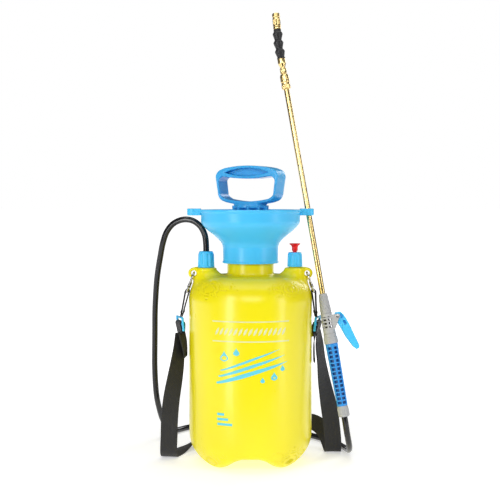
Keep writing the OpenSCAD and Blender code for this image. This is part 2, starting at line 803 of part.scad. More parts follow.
tank_shell();
neck_seal();
funnel();
lance_clip(-1);  // lance_clip_left
lance_clip(1);  // lance_clip_right
pump_cap_seal();
pump_cap();
rod_guide_bush();
pump_cylinder();
check_valve();
piston();
piston_cup();
piston_rod();
pump_handle();
handle_pin();
outlet_fitting();
outlet_seal();
hose_outlet_nut();
dip_tube();
dip_strainer();
relief_body();
relief_seal_ring();
relief_cap();
relief_spring();
relief_disc();
relief_knob();
hose();
grip_end_nut();
grip();
grip_filter();
grip_collar();
gun_body();
trigger();
trigger_pin();
valve_plunger();
trigger_spring();
lance_nut();
lance_tube();
lance_inner_tube();
telescope_seal();
lock_nut();
nozzle_collar();
nozzle_adapter();
flex_bellows();
nozzle_body();
nozzle_seal();
nozzle_cap();
snap_hook(-1);  // snap_hook_left
snap_hook(1);  // snap_hook_right
hook_gate(-1);  // hook_gate_left
hook_gate(1);  // hook_gate_right
webbing_loop(-1);  // webbing_loop_left
webbing_loop(1);  // webbing_loop_right
buckle(-1);  // buckle_left
buckle(1);  // buckle_right
shoulder_strap();
strap_tail(tail_left_rows);  // strap_tail_left
strap_tail(tail_right_rows);  // strap_tail_right
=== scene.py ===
"""Looks of the garden pressure sprayer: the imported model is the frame, in millimetres."""

import json
import math

import bmesh
import bpy
import numpy as np
from mathutils import Matrix, Vector


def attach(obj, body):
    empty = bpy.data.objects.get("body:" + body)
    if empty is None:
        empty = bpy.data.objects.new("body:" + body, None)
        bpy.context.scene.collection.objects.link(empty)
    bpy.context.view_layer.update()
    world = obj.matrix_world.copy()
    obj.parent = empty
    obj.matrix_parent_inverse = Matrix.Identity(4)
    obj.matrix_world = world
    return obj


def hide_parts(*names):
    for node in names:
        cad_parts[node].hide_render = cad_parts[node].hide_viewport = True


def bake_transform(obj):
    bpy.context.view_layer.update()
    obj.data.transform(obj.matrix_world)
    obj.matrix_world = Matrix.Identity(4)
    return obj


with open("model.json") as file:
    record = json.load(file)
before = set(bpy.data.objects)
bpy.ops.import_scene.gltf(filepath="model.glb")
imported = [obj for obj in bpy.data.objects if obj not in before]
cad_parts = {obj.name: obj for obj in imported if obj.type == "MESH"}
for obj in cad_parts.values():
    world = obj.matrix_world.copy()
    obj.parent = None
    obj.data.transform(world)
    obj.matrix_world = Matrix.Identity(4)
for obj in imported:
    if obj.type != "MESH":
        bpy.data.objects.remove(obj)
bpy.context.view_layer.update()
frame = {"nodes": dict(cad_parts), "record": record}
MM = 0.001
scene = bpy.context.scene
scene.view_settings.view_transform = "Standard"


# ---------- camera, floor and light ----------

camera = bpy.data.objects.new("camera", bpy.data.cameras.new("camera"))
scene.collection.objects.link(camera)
camera.data.lens = 78.7
camera.data.sensor_width = 36
camera.location = (-0.0007, -1.6, 0.384)
camera.rotation_euler = (math.radians(90 - 2.62), 0, 0)
scene.camera = camera


def lamp(name, place, target, size_x, size_y, watts):
    data = bpy.data.lights.new(name, "AREA")
    data.shape = "RECTANGLE"
    data.size, data.size_y, data.energy = size_x, size_y, watts
    obj = bpy.data.objects.new(name, data)
    obj.location = place
    obj.rotation_euler = (Vector(target) - Vector(place)).to_track_quat("-Z", "Y").to_euler()
    scene.collection.objects.link(obj)


lamp("softbox_left", (-1.05, -1.35, 0.42), (0, 0, 0.25), 0.38, 1.7, 15)
lamp("softbox_right", (1.5, -0.9, 0.42), (0, 0, 0.25), 0.32, 1.7, 9)
lamp("fill_front", (0.1, -2.2, 1.15), (0, 0, 0.3), 1.4, 0.8, 14)
lamp("fill_back", (1.5, 1.9, 1.3), (0, 0, 0.25), 1.0, 1.0, 12)
lamp("softbox_top", (0, 0.1, 2.3), (0, 0.1, 0), 2.0, 2.0, 21)

world = bpy.data.worlds.new("studio")
scene.world = world
world.use_nodes = True
sky = world.node_tree.nodes["Background"]
sky.inputs["Color"].default_value = (1, 1, 1, 1)


# ---------- materials ----------


def nodes_of(name):
    m = bpy.data.materials.new(name)
    m.use_nodes = True
    nt = m.node_tree
    return m, nt, nt.nodes["Principled BSDF"]


def node(nt, kind, **values):
    n = nt.nodes.new(kind)
    for key, value in values.items():
        if hasattr(n, key):
            setattr(n, key, value)
        else:
            n.inputs[key.replace("_", " ")].default_value = value
    return n


def maths(nt, operation, a, b=0.0):
    n = nt.nodes.new("ShaderNodeMath")
    n.operation = operation
    for socket, value in zip(n.inputs, (a, b)):
        if isinstance(value, (int, float)):
            socket.default_value = value
        else:
            nt.links.new(value, socket)
    return n.outputs[0]


def noise(nt, vector, scale, detail=3.0, roughness=0.5, stretch=(1, 1, 1)):
    if stretch != (1, 1, 1):
        mapping = node(nt, "ShaderNodeMapping")
        mapping.inputs["Scale"].default_value = stretch
        nt.links.new(vector, mapping.inputs["Vector"])
        vector = mapping.outputs[0]
    n = node(nt, "ShaderNodeTexNoise", Scale=scale, Detail=detail, Roughness=roughness)
    nt.links.new(vector, n.inputs["Vector"])
    return n.outputs["Fac"]


def ranged(nt, value, low, high, source=(0.3, 0.7)):
    n = node(nt, "ShaderNodeMapRange", From_Min=source[0], From_Max=source[1], To_Min=low, To_Max=high)
    nt.links.new(value, n.inputs["Value"])
    return n.outputs["Result"]


def mixed(nt, factor, a, b):
    n = nt.nodes.new("ShaderNodeMix")
    n.data_type = "RGBA"
    nt.links.new(factor, n.inputs[0])
    for socket, value in ((n.inputs[6], a), (n.inputs[7], b)):
        if isinstance(value, tuple):
            socket.default_value = (*value, 1)
        else:
            nt.links.new(value, socket)
    return n.outputs[2]


def bumped(nt, shader, height, distance, strength=1.0, under=None):
    n = node(nt, "ShaderNodeBump", Strength=strength, Distance=distance)
    nt.links.new(height, n.inputs["Height"])
    if under is not None:
        nt.links.new(under, n.inputs["Normal"])
    nt.links.new(n.outputs[0], shader.inputs["Normal"])
    return n.outputs[0]


def shade(colour, k):
    return tuple(min(1.0, c * k) for c in colour)


def plastic(name, colour, rough, grain=0.00006, wave=0.0, coat=0.0, translucence=0.0, seam=False):
    """Moulded plastic: slight streaks of colour, a fine grain, and a gloss that varies with handling."""
    m, nt, s = nodes_of(name)
    place = node(nt, "ShaderNodeTexCoord").outputs["Object"]
    streaks = noise(nt, place, 14, 4, 0.55, (1, 1, 0.35))
    nt.links.new(mixed(nt, ranged(nt, streaks, 0, 1), shade(colour, 0.955), shade(colour, 1.03)),
                 s.inputs["Base Color"])
    rub = noise(nt, place, 55, 5, 0.6)
    scuffs = noise(nt, place, 260, 2, 0.5, (1, 1, 0.12))
    wear = maths(nt, "ADD", maths(nt, "MULTIPLY", rub, 0.7), maths(nt, "MULTIPLY", scuffs, 0.3))
    nt.links.new(ranged(nt, wear, rough - 0.05, rough + 0.07), s.inputs["Roughness"])
    under = bumped(nt, s, noise(nt, place, 1500, 2, 0.5), grain, 0.35)
    if wave:
        under = bumped(nt, s, noise(nt, place, 24, 2, 0.45), wave, 0.6, under)
    if seam:
        # The line where the two halves of the blow mould met
        split = node(nt, "ShaderNodeSeparateXYZ")
        nt.links.new(place, split.inputs[0])
        off = maths(nt, "ABSOLUTE", split.outputs["Y"])
        line = ranged(nt, off, 1.0, 0.0, (0.0001, 0.0007))
        bumped(nt, s, line, 0.0004, 0.8, under)
    s.inputs["IOR"].default_value = 1.5
    s.inputs["Specular IOR Level"].default_value = 0.4
    s.inputs["Coat Weight"].default_value = coat
    s.inputs["Coat Roughness"].default_value = 0.18
    if translucence:
        s.inputs["Subsurface Weight"].default_value = translucence
        s.inputs["Subsurface Radius"].default_value = colour
        s.inputs["Subsurface Scale"].default_value = 0.003
    return m


def metal(name, colour, dark, rough, stretch=(1, 1, 0.03)):
    """Drawn and turned metal: fine lines along the work, and darker handled patches."""
    m, nt, s = nodes_of(name)
    place = node(nt, "ShaderNodeTexCoord").outputs["Object"]
    s.inputs["Metallic"].default_value = 1.0
    patches = noise(nt, place, 16, 4, 0.55)
    lines = noise(nt, place, 1400, 3, 0.6, stretch)
    nt.links.new(mixed(nt, ranged(nt, patches, 0, 1, (0.42, 0.72)), colour, dark), s.inputs["Base Color"])
    blend = maths(nt, "ADD", maths(nt, "MULTIPLY", patches, 0.5), maths(nt, "MULTIPLY", lines, 0.5))
    nt.links.new(ranged(nt, blend, rough - 0.07, rough + 0.1), s.inputs["Roughness"])
    bumped(nt, s, lines, 0.00003, 0.5)
    return m


def rubber(name, colour, rough, mottling=1.15, grain=0.00012):
    m, nt, s = nodes_of(name)
    place = node(nt, "ShaderNodeTexCoord").outputs["Object"]
    cloudy = noise(nt, place, 90, 5, 0.6)
    nt.links.new(mixed(nt, ranged(nt, cloudy, 0, 1), colour, shade(colour, mottling)), s.inputs["Base Color"])
    fine = noise(nt, place, 900, 4, 0.6)
    nt.links.new(ranged(nt, fine, rough - 0.07, rough + 0.08), s.inputs["Roughness"])
    bumped(nt, s, fine, grain, 0.4)
    return m


def webbing(name):
    """Woven polypropylene strap. The mesh's UVs are metres across and along it."""
    m, nt, s = nodes_of(name)
    place = node(nt, "ShaderNodeUVMap", uv_map="strap")
    split = node(nt, "ShaderNodeSeparateXYZ")
    nt.links.new(place.outputs[0], split.inputs[0])
    across, along = split.outputs["X"], split.outputs["Y"]
    column = maths(nt, "DIVIDE", across, 0.0021)
    shift = maths(nt, "MULTIPLY", maths(nt, "FLOOR", column), math.pi)
    pick = maths(nt, "SINE", maths(nt, "ADD", maths(nt, "MULTIPLY", along, 2 * math.pi / 0.0023), shift))
    rib = maths(nt, "ABSOLUTE", maths(nt, "SINE", maths(nt, "MULTIPLY", column, math.pi)))
    rib = maths(nt, "POWER", rib, 0.5)
    pick = maths(nt, "ADD", maths(nt, "MULTIPLY", pick, 0.5), 0.5)
    height = maths(nt, "MULTIPLY", rib, maths(nt, "ADD", maths(nt, "MULTIPLY", pick, 0.75), 0.25))
    yarn = noise(nt, place.outputs[0], 2600, 3, 0.6, (1, 0.35, 1))
    wear = noise(nt, place.outputs[0], 70, 4, 0.6)
    # Painted shade: the weave's low parts are coloured darker than its raised yarns, and the wear noise
    # varies that tone at random
    weave_shade_and_wear = maths(nt, "MULTIPLY", height, maths(nt, "ADD", maths(nt, "MULTIPLY", wear, 0.8), 0.5))
    nt.links.new(mixed(nt, weave_shade_and_wear, (0.005, 0.005, 0.006), (0.027, 0.027, 0.03)), s.inputs["Base Color"])
    nt.links.new(ranged(nt, yarn, 0.5, 0.8), s.inputs["Roughness"])
    s.inputs["Sheen Weight"].default_value = 0.1
    s.inputs["Sheen Roughness"].default_value = 0.4
    under = bumped(nt, s, height, 0.0005, 0.9)
    bumped(nt, s, yarn, 0.00012, 0.6, under)
    return m


# A white studio: the sheet behind is seen white, and fills the shadows only a little
FILL = 0.13
nt = world.node_tree
seen = node(nt, "ShaderNodeLightPath").outputs["Is Camera Ray"]
nt.links.new(maths(nt, "ADD", maths(nt, "MULTIPLY", seen, 1 - FILL), FILL), sky.inputs["Strength"])

YELLOW = plastic("yellow_plastic", (0.89, 0.775, 0.002), 0.31, wave=0.0011, coat=0.3, translucence=0.10,
                 seam=True)
SKY = plastic("sky_plastic", (0.07, 0.56, 0.95), 0.36, wave=0.0002, coat=0.1, translucence=0.08)
HANDLE = plastic("handle_plastic", (0.045, 0.42, 0.83), 0.30, wave=0.0002, coat=0.2, translucence=0.06)
GRIP = plastic("grip_plastic", (0.03, 0.29, 0.76), 0.34, coat=0.15, translucence=0.05)
# Painted shade: a darker copy of the grip's blue, for the tube seen through the grip's windows
GRIP_SHADE = plastic("grip_shade_plastic", (0.010, 0.07, 0.24), 0.4)
WHITE = plastic("white_plastic", (0.80, 0.80, 0.77), 0.42, translucence=0.1)
GREY = plastic("grey_plastic", (0.42, 0.425, 0.43), 0.42, grain=0.00012)
RED = plastic("red_plastic", (0.86, 0.006, 0.004), 0.3, coat=0.1)
RUBBER = rubber("black_rubber", (0.012, 0.012, 0.014), 0.42)
HOSE = rubber("hose_vinyl", (0.006, 0.006, 0.007), 0.15, 1.3, 0.00004)
BRASS = metal("brass", (0.86, 0.66, 0.30), (0.72, 0.53, 0.22), 0.2)
NICKEL = metal("nickel", (0.72, 0.71, 0.69), (0.42, 0.41, 0.40), 0.22)
WEBBING = webbing("webbing")
THREAD = rubber("stitching", (0.03, 0.03, 0.032), 0.7, 1.6, 0.0003)
PRINT_PALE = plastic("print_pale", (0.72, 0.74, 0.44), 0.5)
PRINT_BLUE = plastic("print_blue", (0.12, 0.62, 0.75), 0.45)
FLOOR = plastic("floor", (0.88, 0.88, 0.88), 0.6, grain=0.00002)
SLOTS = {
    "yellow_plastic": YELLOW, "sky_plastic": SKY, "handle_plastic": HANDLE, "white_plastic": WHITE,
    "grey_plastic": GREY, "red_plastic": RED, "black_rubber": RUBBER, "hose_vinyl": HOSE, "brass": BRASS,
    "nickel": NICKEL, "webbing": WEBBING,
}
node_slot = {part["node"]: part["material_slot"] for part in frame["record"]["subparts"]}
for name, obj in frame["nodes"].items():
    obj.data.materials.clear()
    obj.data.materials.append(SLOTS[node_slot[name]])

floor_mesh = bpy.data.meshes.new("floor")
floor_mesh.from_pydata([(-12, -0.5, 0), (12, -0.5, 0), (12, 40, 0), (-12, 40, 0)], [], [(0, 1, 2, 3)])
# Painted light: the floor glows, its emission rising from 0.46 within 0.35 m of the object to 1.0 beyond 1.1
# m, so the far floor reads white
nt = FLOOR.node_tree
painted_glow_floor = nt.nodes["Principled BSDF"]
away = node(nt, "ShaderNodeVectorMath", operation="LENGTH")
nt.links.new(node(nt, "ShaderNodeTexCoord").outputs["Object"], away.inputs[0])
nt.links.new(ranged(nt, away.outputs["Value"], 0.46, 1.0, (0.35, 1.1)), painted_glow_floor.inputs["Emission Strength"])
painted_glow_floor.inputs["Emission Color"].default_value = (1, 1, 1, 1)
floor_mesh.materials.append(FLOOR)
floor = bpy.data.objects.new("floor", floor_mesh)
floor.location.z = -0.0002
scene.collection.objects.link(floor)


# ---------- making meshes ----------


def piece(name, points, faces, material, body, slot, nodes=(), place=None, sharp=None, uv=None, closed=True):
    """A piece from points in millimetres, riding on a body and standing for CAD nodes."""
    points = np.asarray(points, float)
    if place is not None:
        m = np.array(place)
        points = points @ m[:3, :3].T + m[:3, 3]
    mesh = bpy.data.meshes.new(name)
    mesh.from_pydata((points * MM).tolist(), [], [tuple(f) for f in np.asarray(faces).tolist()]
                     if isinstance(faces, np.ndarray) else faces)
    if uv is not None:
        layer = mesh.uv_layers.new(name="strap")
        loops = np.zeros(len(mesh.loops), np.int32)
        mesh.loops.foreach_get("vertex_index", loops)
        layer.data.foreach_set("uv", (np.asarray(uv, float) * MM)[loops].astype(np.float32).ravel())
    if closed:
        bm = bmesh.new()
        bm.from_mesh(mesh)
        bmesh.ops.remove_doubles(bm, verts=bm.verts, dist=1e-7)
        bmesh.ops.recalc_face_normals(bm, faces=bm.faces)
        bm.to_mesh(mesh)
        bm.free()
    mesh.shade_smooth()
    if sharp:
        mesh.set_sharp_from_angle(angle=math.radians(sharp))
    mesh.materials.append(material)
    obj = bpy.data.objects.new(name, mesh)
    scene.collection.objects.link(obj)
    if body:
        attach(obj, body)
    if nodes:
        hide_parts(*nodes)
    return obj


def smooth(t):
    t = np.clip(t, 0, 1)
    return t * t * (3 - 2 * t)


def rounded(points, radius, steps=4):
    """A closed outline with its corners turned into small arcs, except those on the axis."""
    out = []
    for i, p in enumerate(points):
        a, b, c = (np.array(points[(i + k) % len(points)], float) for k in (-1, 0, 1))
        u, v = a - b, c - b
        lu, lv = np.linalg.norm(u), np.linalg.norm(v)
        angle = math.acos(max(-1, min(1, u @ v / (lu * lv))))
        if b[0] < 1e-6 or angle > math.radians(170):
            out.append(tuple(b))
            continue
        cut = min(radius / math.tan(angle / 2), 0.45 * lu, 0.45 * lv)
        p1, p2 = b + u / lu * cut, b + v / lv * cut
        for k in range(steps + 1):
            t = k / steps
            out.append(tuple((1 - t) ** 2 * p1 + 2 * t * (1 - t) * b + t * t * p2))
    return out


def lathe(outline, segments=72, ripple=None, step=None):
    """Points and faces of a closed (radius, height) outline turned about Z.
    ripple(r, z, angle) gives the radius at each point."""
    prof = [np.array(p, float) for p in outline]
    if step:
        dense = []
        for a, b in zip(prof, prof[1:] + prof[:1]):
            n = max(1, math.ceil(np.linalg.norm(b - a) / step))
            dense += [a + (b - a) * k / n for k in range(n)]
        prof = dense
    prof = np.array(prof)
    n = len(prof)
    angle = np.arange(segments) * 2 * math.pi / segments
    r = prof[:, :1] + 0 * angle
    z = prof[:, 1:] + 0 * angle
    if ripple:
        r = ripple(r, z, angle + 0 * r)
    points = np.stack([r * np.cos(angle), r * np.sin(angle), z], -1).reshape(-1, 3)
    i, j = np.meshgrid(np.arange(n), np.arange(segments), indexing="ij")
    i2, j2 = (i + 1) % n, (j + 1) % segments
    faces = np.stack([i * segments + j, i * segments + j2, i2 * segments + j2, i2 * segments + j], -1)
    return points, faces.reshape(-1, 4)


def turned(name, outline, edge, segments, material, body, slot, nodes=(), place=None, sharp=50, ripple=None,
           step=None):
    """A lathed piece, the corners of its outline rounded by edge."""
    return piece(name, *lathe(rounded(outline, edge), segments, ripple, step), material, body, slot, nodes,
                 place,
                 sharp)


def skin(field, low, high, step, settle=3):
    """Closed mesh of the surface where field(x, y, z), negative inside, is zero.
    Surface nets, then each point settled onto the surface."""
    axes = [np.arange(a, b + step, step) for a, b in zip(low, high)]
    f = field(*np.meshgrid(*axes, indexing="ij")).astype(np.float32)
    inside = f < 0
    shape = [n - 1 for n in f.shape]
    corner = [(i, j, k) for i in (0, 1) for j in (0, 1) for k in (0, 1)]
    count = sum(inside[i:shape[0] + i, j:shape[1] + j, k:shape[2] + k].astype(np.int8) for i, j, k in corner)
    active = (count > 0) & (count < 8)
    index = np.full(shape, -1)
    index[active] = np.arange(active.sum())
    cells = np.argwhere(active)
    total, hits = np.zeros((len(cells), 3)), np.zeros(len(cells))
    for a in corner:
        for axis in range(3):
            if a[axis]:
                continue
            b = np.array(a)
            b[axis] = 1
            fa = f[tuple((cells + a).T)]
            fb = f[tuple((cells + b).T)]
            cut = (fa < 0) != (fb < 0)
            t = np.where(cut, fa / np.where(cut, fa - fb, 1), 0)
            total += np.where(cut[:, None], np.array(a) + t[:, None] * (b - a), 0)
            hits += cut
    points = (cells + total / hits[:, None]) * step + [x[0] for x in axes]
    faces = []
    for axis in range(3):
        u, v = (axis + 1) % 3, (axis + 2) % 3
        s = np.moveaxis(inside, (axis, u, v), (0, 1, 2))
        change = s[:-1, 1:-1, 1:-1] != s[1:, 1:-1, 1:-1]
        at = np.argwhere(change)
        first = s[:-1, 1:-1, 1:-1][tuple(at.T)]
        at = at + (0, 1, 1)
        idx = np.moveaxis(index, (axis, u, v), (0, 1, 2))
        around = ((1, 1), (0, 1), (0, 0), (1, 0))
        quad = np.stack([idx[at[:, 0], at[:, 1] - du, at[:, 2] - dv] for du, dv in around], -1)
        quad[~first] = quad[~first][:, ::-1]
        faces.append(quad)
    for _ in range(settle):
        e = step * 0.1
        here = field(*points.T)
        slope = np.stack([(field(*(points + d).T) - field(*(points - d).T)) / (2 * e)
                          for d in np.eye(3) * e], -1)
        size = np.maximum((slope ** 2).sum(-1, keepdims=True), 0.05)
        points = points - np.clip(here[:, None] * slope / size, -0.4 * step, 0.4 * step)
    return points, np.concatenate(faces)


def both(a, b, k):
    """Smooth intersection of two fields."""
    return -either(-a, -b, k)


def either(a, b, k):
    """Smooth union of two fields, with a fillet about k wide."""
    h = np.clip(0.5 + 0.5 * (b - a) / k, 0, 1)
    return b * (1 - h) + a * h - k * h * (1 - h)


def polygon_field(x, y, corners):
    """Signed distance in the plane to a closed polygon."""
    c = np.array(corners, float)
    d = np.full(np.shape(x), 1e18)
    sign = np.ones(np.shape(x))
    for a, b in zip(c, np.roll(c, 1, 0)):
        e, wx, wy = b - a, x - a[0], y - a[1]
        t = np.clip((wx * e[0] + wy * e[1]) / (e @ e), 0, 1)
        d = np.minimum(d, (wx - e[0] * t) ** 2 + (wy - e[1] * t) ** 2)
        up, down = (y >= a[1]) & (y < b[1]), (y < a[1]) & (y >= b[1])
        side = e[0] * wy - e[1] * wx
        sign = np.where((up & (side > 0)) | (down & (side < 0)), -sign, sign)
    return sign * np.sqrt(d)


def slab(field2d, across, half, edge):
    """A flat shape with thickness, its edges rounded."""
    qx, qy = field2d + edge, np.abs(across) - half + edge
    return np.minimum(np.maximum(qx, qy), 0) + np.hypot(np.maximum(qx, 0), np.maximum(qy, 0)) - edge


def brick(x, y, z, centre, half, edge):
    q = [np.abs(v - c) - h + edge for v, c, h in zip((x, y, z), centre, half)]
    out = np.sqrt(sum(np.maximum(v, 0) ** 2 for v in q))
    return out + np.minimum(np.maximum(q[0], np.maximum(q[1], q[2])), 0) - edge


def arc(cx, cy, r, a0, a1, n):
    return [(cx + r * math.cos(math.radians(a0 + (a1 - a0) * i / n)),
             cy + r * math.sin(math.radians(a0 + (a1 - a0) * i / n))) for i in range(n + 1)]


def flowing(points, spacing):
    """A smooth curve through the points (Catmull-Rom by chord length), resampled evenly."""
    p = np.array(points, float)
    p = np.vstack([2 * p[0] - p[1], p, 2 * p[-1] - p[-2]])
    out = []
    for a, b, c, d in zip(p, p[1:], p[2:], p[3:]):
        t1 = np.linalg.norm((b - a)[:3]) ** 0.5
        t2 = t1 + np.linalg.norm((c - b)[:3]) ** 0.5
        t3 = t2 + np.linalg.norm((d - c)[:3]) ** 0.5
        for t in np.linspace(t1, t2, 24, endpoint=False):
            a1 = (t1 - t) / t1 * a + t / t1 * b
            a2 = (t2 - t) / (t2 - t1) * b + (t - t1) / (t2 - t1) * c
            a3 = (t3 - t) / (t3 - t2) * c + (t - t2) / (t3 - t2) * d
            b1 = (t2 - t) / t2 * a1 + t / t2 * a2
            b2 = (t3 - t) / (t3 - t1) * a2 + (t - t1) / (t3 - t1) * a3
            out.append((t2 - t) / (t2 - t1) * b1 + (t - t1) / (t2 - t1) * b2)
    out = np.array(out + [p[-2]])
    s = np.r_[0, np.cumsum(np.linalg.norm(np.diff(out[:, :3], axis=0), axis=1))]
    at = np.linspace(0, s[-1], max(2, round(s[-1] / spacing)) + 1)
    return np.stack([np.interp(at, s, out[:, k]) for k in range(out.shape[1])], -1)


def frames_along(path, closed=False):
    """Unit tangents of a path."""
    if closed:
        t = np.roll(path, -1, 0) - np.roll(path, 1, 0)
    else:
        t = np.gradient(path, axis=0)
    return t / np.linalg.norm(t, axis=1, keepdims=True)


def tube(path, radius, sides=12, closed=False, start=(0, 1, 0.01)):
    """Points and faces of a round wire along a path, its ends domed if it is open."""
    path = np.array(path, float)
    t = frames_along(path, closed)
    radius = np.full(len(path), float(radius))
    if not closed:
        # Two more rings round off each end
        head, tail = path[0] - t[0] * radius[0] * 0.5, path[-1] + t[-1] * radius[-1] * 0.5
        path = np.vstack([head, path, tail])
        t = np.vstack([t[0], t, t[-1]])
        radius = np.r_[radius[0] * 0.6, radius, radius[-1] * 0.6]
    normal = np.array(start, float)
    rings = []
    for p, d, r in zip(path, t, radius):
        normal = normal - (normal @ d) * d
        normal /= np.linalg.norm(normal)
        other = np.cross(d, normal)
        a = np.arange(sides)[:, None] * 2 * math.pi / sides
        rings.append(p + r * (np.cos(a) * normal + np.sin(a) * other))
    n = len(rings)
    faces = []
    for i in range(n if closed else n - 1):
        for k in range(sides):
            k2, i2 = (k + 1) % sides, (i + 1) % n
            faces.append((i * sides + k, i2 * sides + k, i2 * sides + k2, i * sides + k2))
    if not closed:
        faces += [tuple(range(sides)), tuple(range((n - 1) * sides, n * sides))[::-1]]
    return np.concatenate(rings), faces


def ribbon(rows, width, thick, spacing=3.0, start=0.0):
    """Webbing along rows of (point, direction of its width): a flat band with rounded, slightly fuller edges.
    Returns points, faces, UVs in millimetres across and along, and the centre line."""
    data = flowing([(*p, *(np.array(s, float) / np.linalg.norm(s))) for p, s in rows], spacing)
    path, side = data[:, :3], data[:, 3:]
    t = frames_along(path)
    side = side - (side * t).sum(1, keepdims=True) * t
    side /= np.linalg.norm(side, axis=1, keepdims=True)
    normal = np.cross(t, side)
    half, h = width / 2, thick / 2
    lanes = np.array([-1, -0.985, -0.94, -0.8, -0.4, 0, 0.4, 0.8, 0.94, 0.985, 1]) * half
    rise = np.array([0.35, 0.8, 1.0, 0.92, 0.9, 0.9, 0.9, 0.92, 1.0, 0.8, 0.35]) * h
    section = [(x, y) for x, y in zip(lanes, rise)] + [(x, -y) for x, y in zip(lanes[::-1], rise[::-1])]
    n, m = len(path), len(section)
    points = np.concatenate([p + np.array([x * s + y * q for x, y in section])
                             for p, s, q in zip(path, side, normal)])
    s = np.r_[0, np.cumsum(np.linalg.norm(np.diff(path, axis=0), axis=1))] + start
    uv = np.array([(x, v) for v in s for x, _ in section])
    faces = [(i * m + k, (i + 1) * m + k, (i + 1) * m + (k + 1) % m, i * m + (k + 1) % m)
             for i in range(n - 1) for k in range(m)]
    faces += [tuple(range(m)), tuple(range((n - 1) * m, n * m))[::-1]]
    return points, faces, uv, path


def joined(*parts):
    """One set of points and faces from several."""
    points, faces, base = [], [], 0
    for p, f in parts:
        points.append(np.asarray(p))
        faces += [tuple(int(i) + base for i in g) for g in f]
        base += len(p)
    return np.concatenate(points), faces


# ---------- places that several pieces share, in millimetres ----------

SIDES = ((-1, "left"), (1, "right"))
EAR_X, EAR_Z = 84.5, 366.5
LANCE = (Matrix.Translation((EAR_X, 0, EAR_Z)) @ Matrix.Rotation(math.radians(-6), 4, "X")
         @ Matrix.Rotation(math.radians(-9.8), 4, "Y"))
NOZZLE_BEND = math.radians(4.8)
PIVOT_U = 253.2
NOZZLE = (LANCE @ Matrix.Translation((0, 0, PIVOT_U)) @ Matrix.Rotation(NOZZLE_BEND, 4, "Y")
          @ Matrix.Translation((0, 0, -PIVOT_U)))
# The bosses under the outlet and the relief valve, and the hole in each strap lug
BOSS_X, BOSS_TOP = 65, 285
HOLE_X, HOLE_Z, HOLE_R = 83, 277, 4
HOOK_LEAN = math.radians(20)
EYE_DROP = 28.4


def hanging(side):
    return Matrix.Translation((side * HOLE_X, 0, HOLE_Z)) @ Matrix.Rotation(-side * HOOK_LEAN, 4, "Y")


# ---------- the hose and the strap, free cords ----------

HOSE_R = 4.5
LYING = 5
hose_start = [
    (-65, 0, 300), (-65, 0, 318), (-67, 1, 333), (-74, 3, 346), (-86, 7, 354), (-100, 11, 355),
    (-114, 16, 349), (-124, 21, 337), (-130, 26, 321), (-135, 33, 298), (-140, 40, 270), (-143, 48, 242),
    (-145, 56, 214), (-146, 64, 186), (-147, 72, 158), (-148, 81, 130), (-148, 91, 102), (-147, 103, 76),
    (-144, 119, 52), (-140, 138, 31), (-133, 160, 14), (-122, 183, 6), (-106, 207, 5), (-87, 224, 5),
    (-63, 234, 5), (-38, 237, 5),
]
# One loop on the ground, which rises over its own start
LOOP_X, LOOP_Y, LOOP_R = -10, 183, 53
hose_loop = []
for i in range(19):
    a = math.radians(97 - i * 400 / 18)
    hump = 9.6 * float(smooth((i / 18 - 0.62) / 0.2))
    hose_loop.append((LOOP_X + LOOP_R * math.cos(a), LOOP_Y + LOOP_R * math.sin(a), LYING + hump))
hose_end = [
    (37, 215, 14), (54, 200, 11), (70, 181, 7), (86, 161, 5), (102, 141, 5), (117, 120, 5), (130, 99, 5),
    (138, 79, 5), (142.5, 60, 6), (145.5, 43, 7), (146.5, 27, 9), (146.5, 12, 12.5), (146, -2, 18),
    (144.5, -14, 26), (142, -24, 37), (139.5, -30.5, 49), (137.4, -32, 62),
    tuple(LANCE @ Vector((0, 0, -292.5))),
]
hose_path = flowing(hose_start + hose_loop + hose_end, 4.0)
curve = bpy.data.curves.new("hose", "CURVE")
curve.dimensions = "3D"
curve.bevel_depth = HOSE_R * MM
curve.bevel_resolution = 7
spline = curve.splines.new("POLY")
spline.points.add(len(hose_path) - 1)
spline.points.foreach_set("co", np.c_[hose_path * MM, np.ones(len(hose_path))].ravel())
spline.use_smooth = True
curve.materials.append(HOSE)
hose = bpy.data.objects.new("garden_hose", curve)
scene.collection.objects.link(hose)
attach(hose, "tank")
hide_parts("hose")

strap_rows = [
    [[-105, -3, 190], [0.35, 1, 0]], [[-105, -4, 170], [0.6, 0.9, 0]], [[-107, -5, 148], [0.8, 0.7, 0]],
    [[-111, -6, 122], [1, 0.5, 0]], [[-116, -7, 92], [1, 0.25, 0]], [[-119, -6, 62], [1, 0.1, 0]],
    [[-120, -4, 34], [1, 0, 0]], [[-121, 0, 14], [1, 0, 0]], [[-121, 10, 4], [1, -0.1, 0]],
    [[-118, 26, 1], [1, -0.3, 0]], [[-111, 46, 1.2], [1, -0.45, 0]], [[-100, 66, 5], [1, -0.7, 0.3]],
    [[-86, 84, 12], [0.7, -0.5, 0.9]], [[-66, 97, 18], [0.2, -0.2, 1]], [[-40, 103, 22], [0, 0, 1]],
    [[-10, 105, 28], [0, 0, 1]], [[22, 104, 34], [0, 0, 1]], [[52, 100, 38], [0, 0, 1]],
    [[80, 93, 40], [0, 0, 1]], [[101, 83, 38], [0.15, 0.1, 1]], [[114, 72, 28], [0.5, 0.25, 0.8]],
    [[121, 62, 13], [0.9, 0.3, 0.4]], [[124, 53, 4], [1, 0.1, 0.05]], [[125, 46, 2.5], [1, 0, 0]],
    [[125, 41, 7], [1, 0, 0]], [[125, 38, 18], [1, 0, 0]], [[123, 32, 38], [1, 0, 0]],
    [[119, 24, 66], [1, 0.1, 0]], [[114, 18, 92], [0.9, 0.45, 0]], [[109, 14, 118], [0.75, 0.7, 0]],
    [[105, 10, 146], [0.55, 0.85, 0]], [[102, 7, 170], [0.5, 0.87, 0]], [[100, 3, 190], [0.3, 0.95, 0]],
]
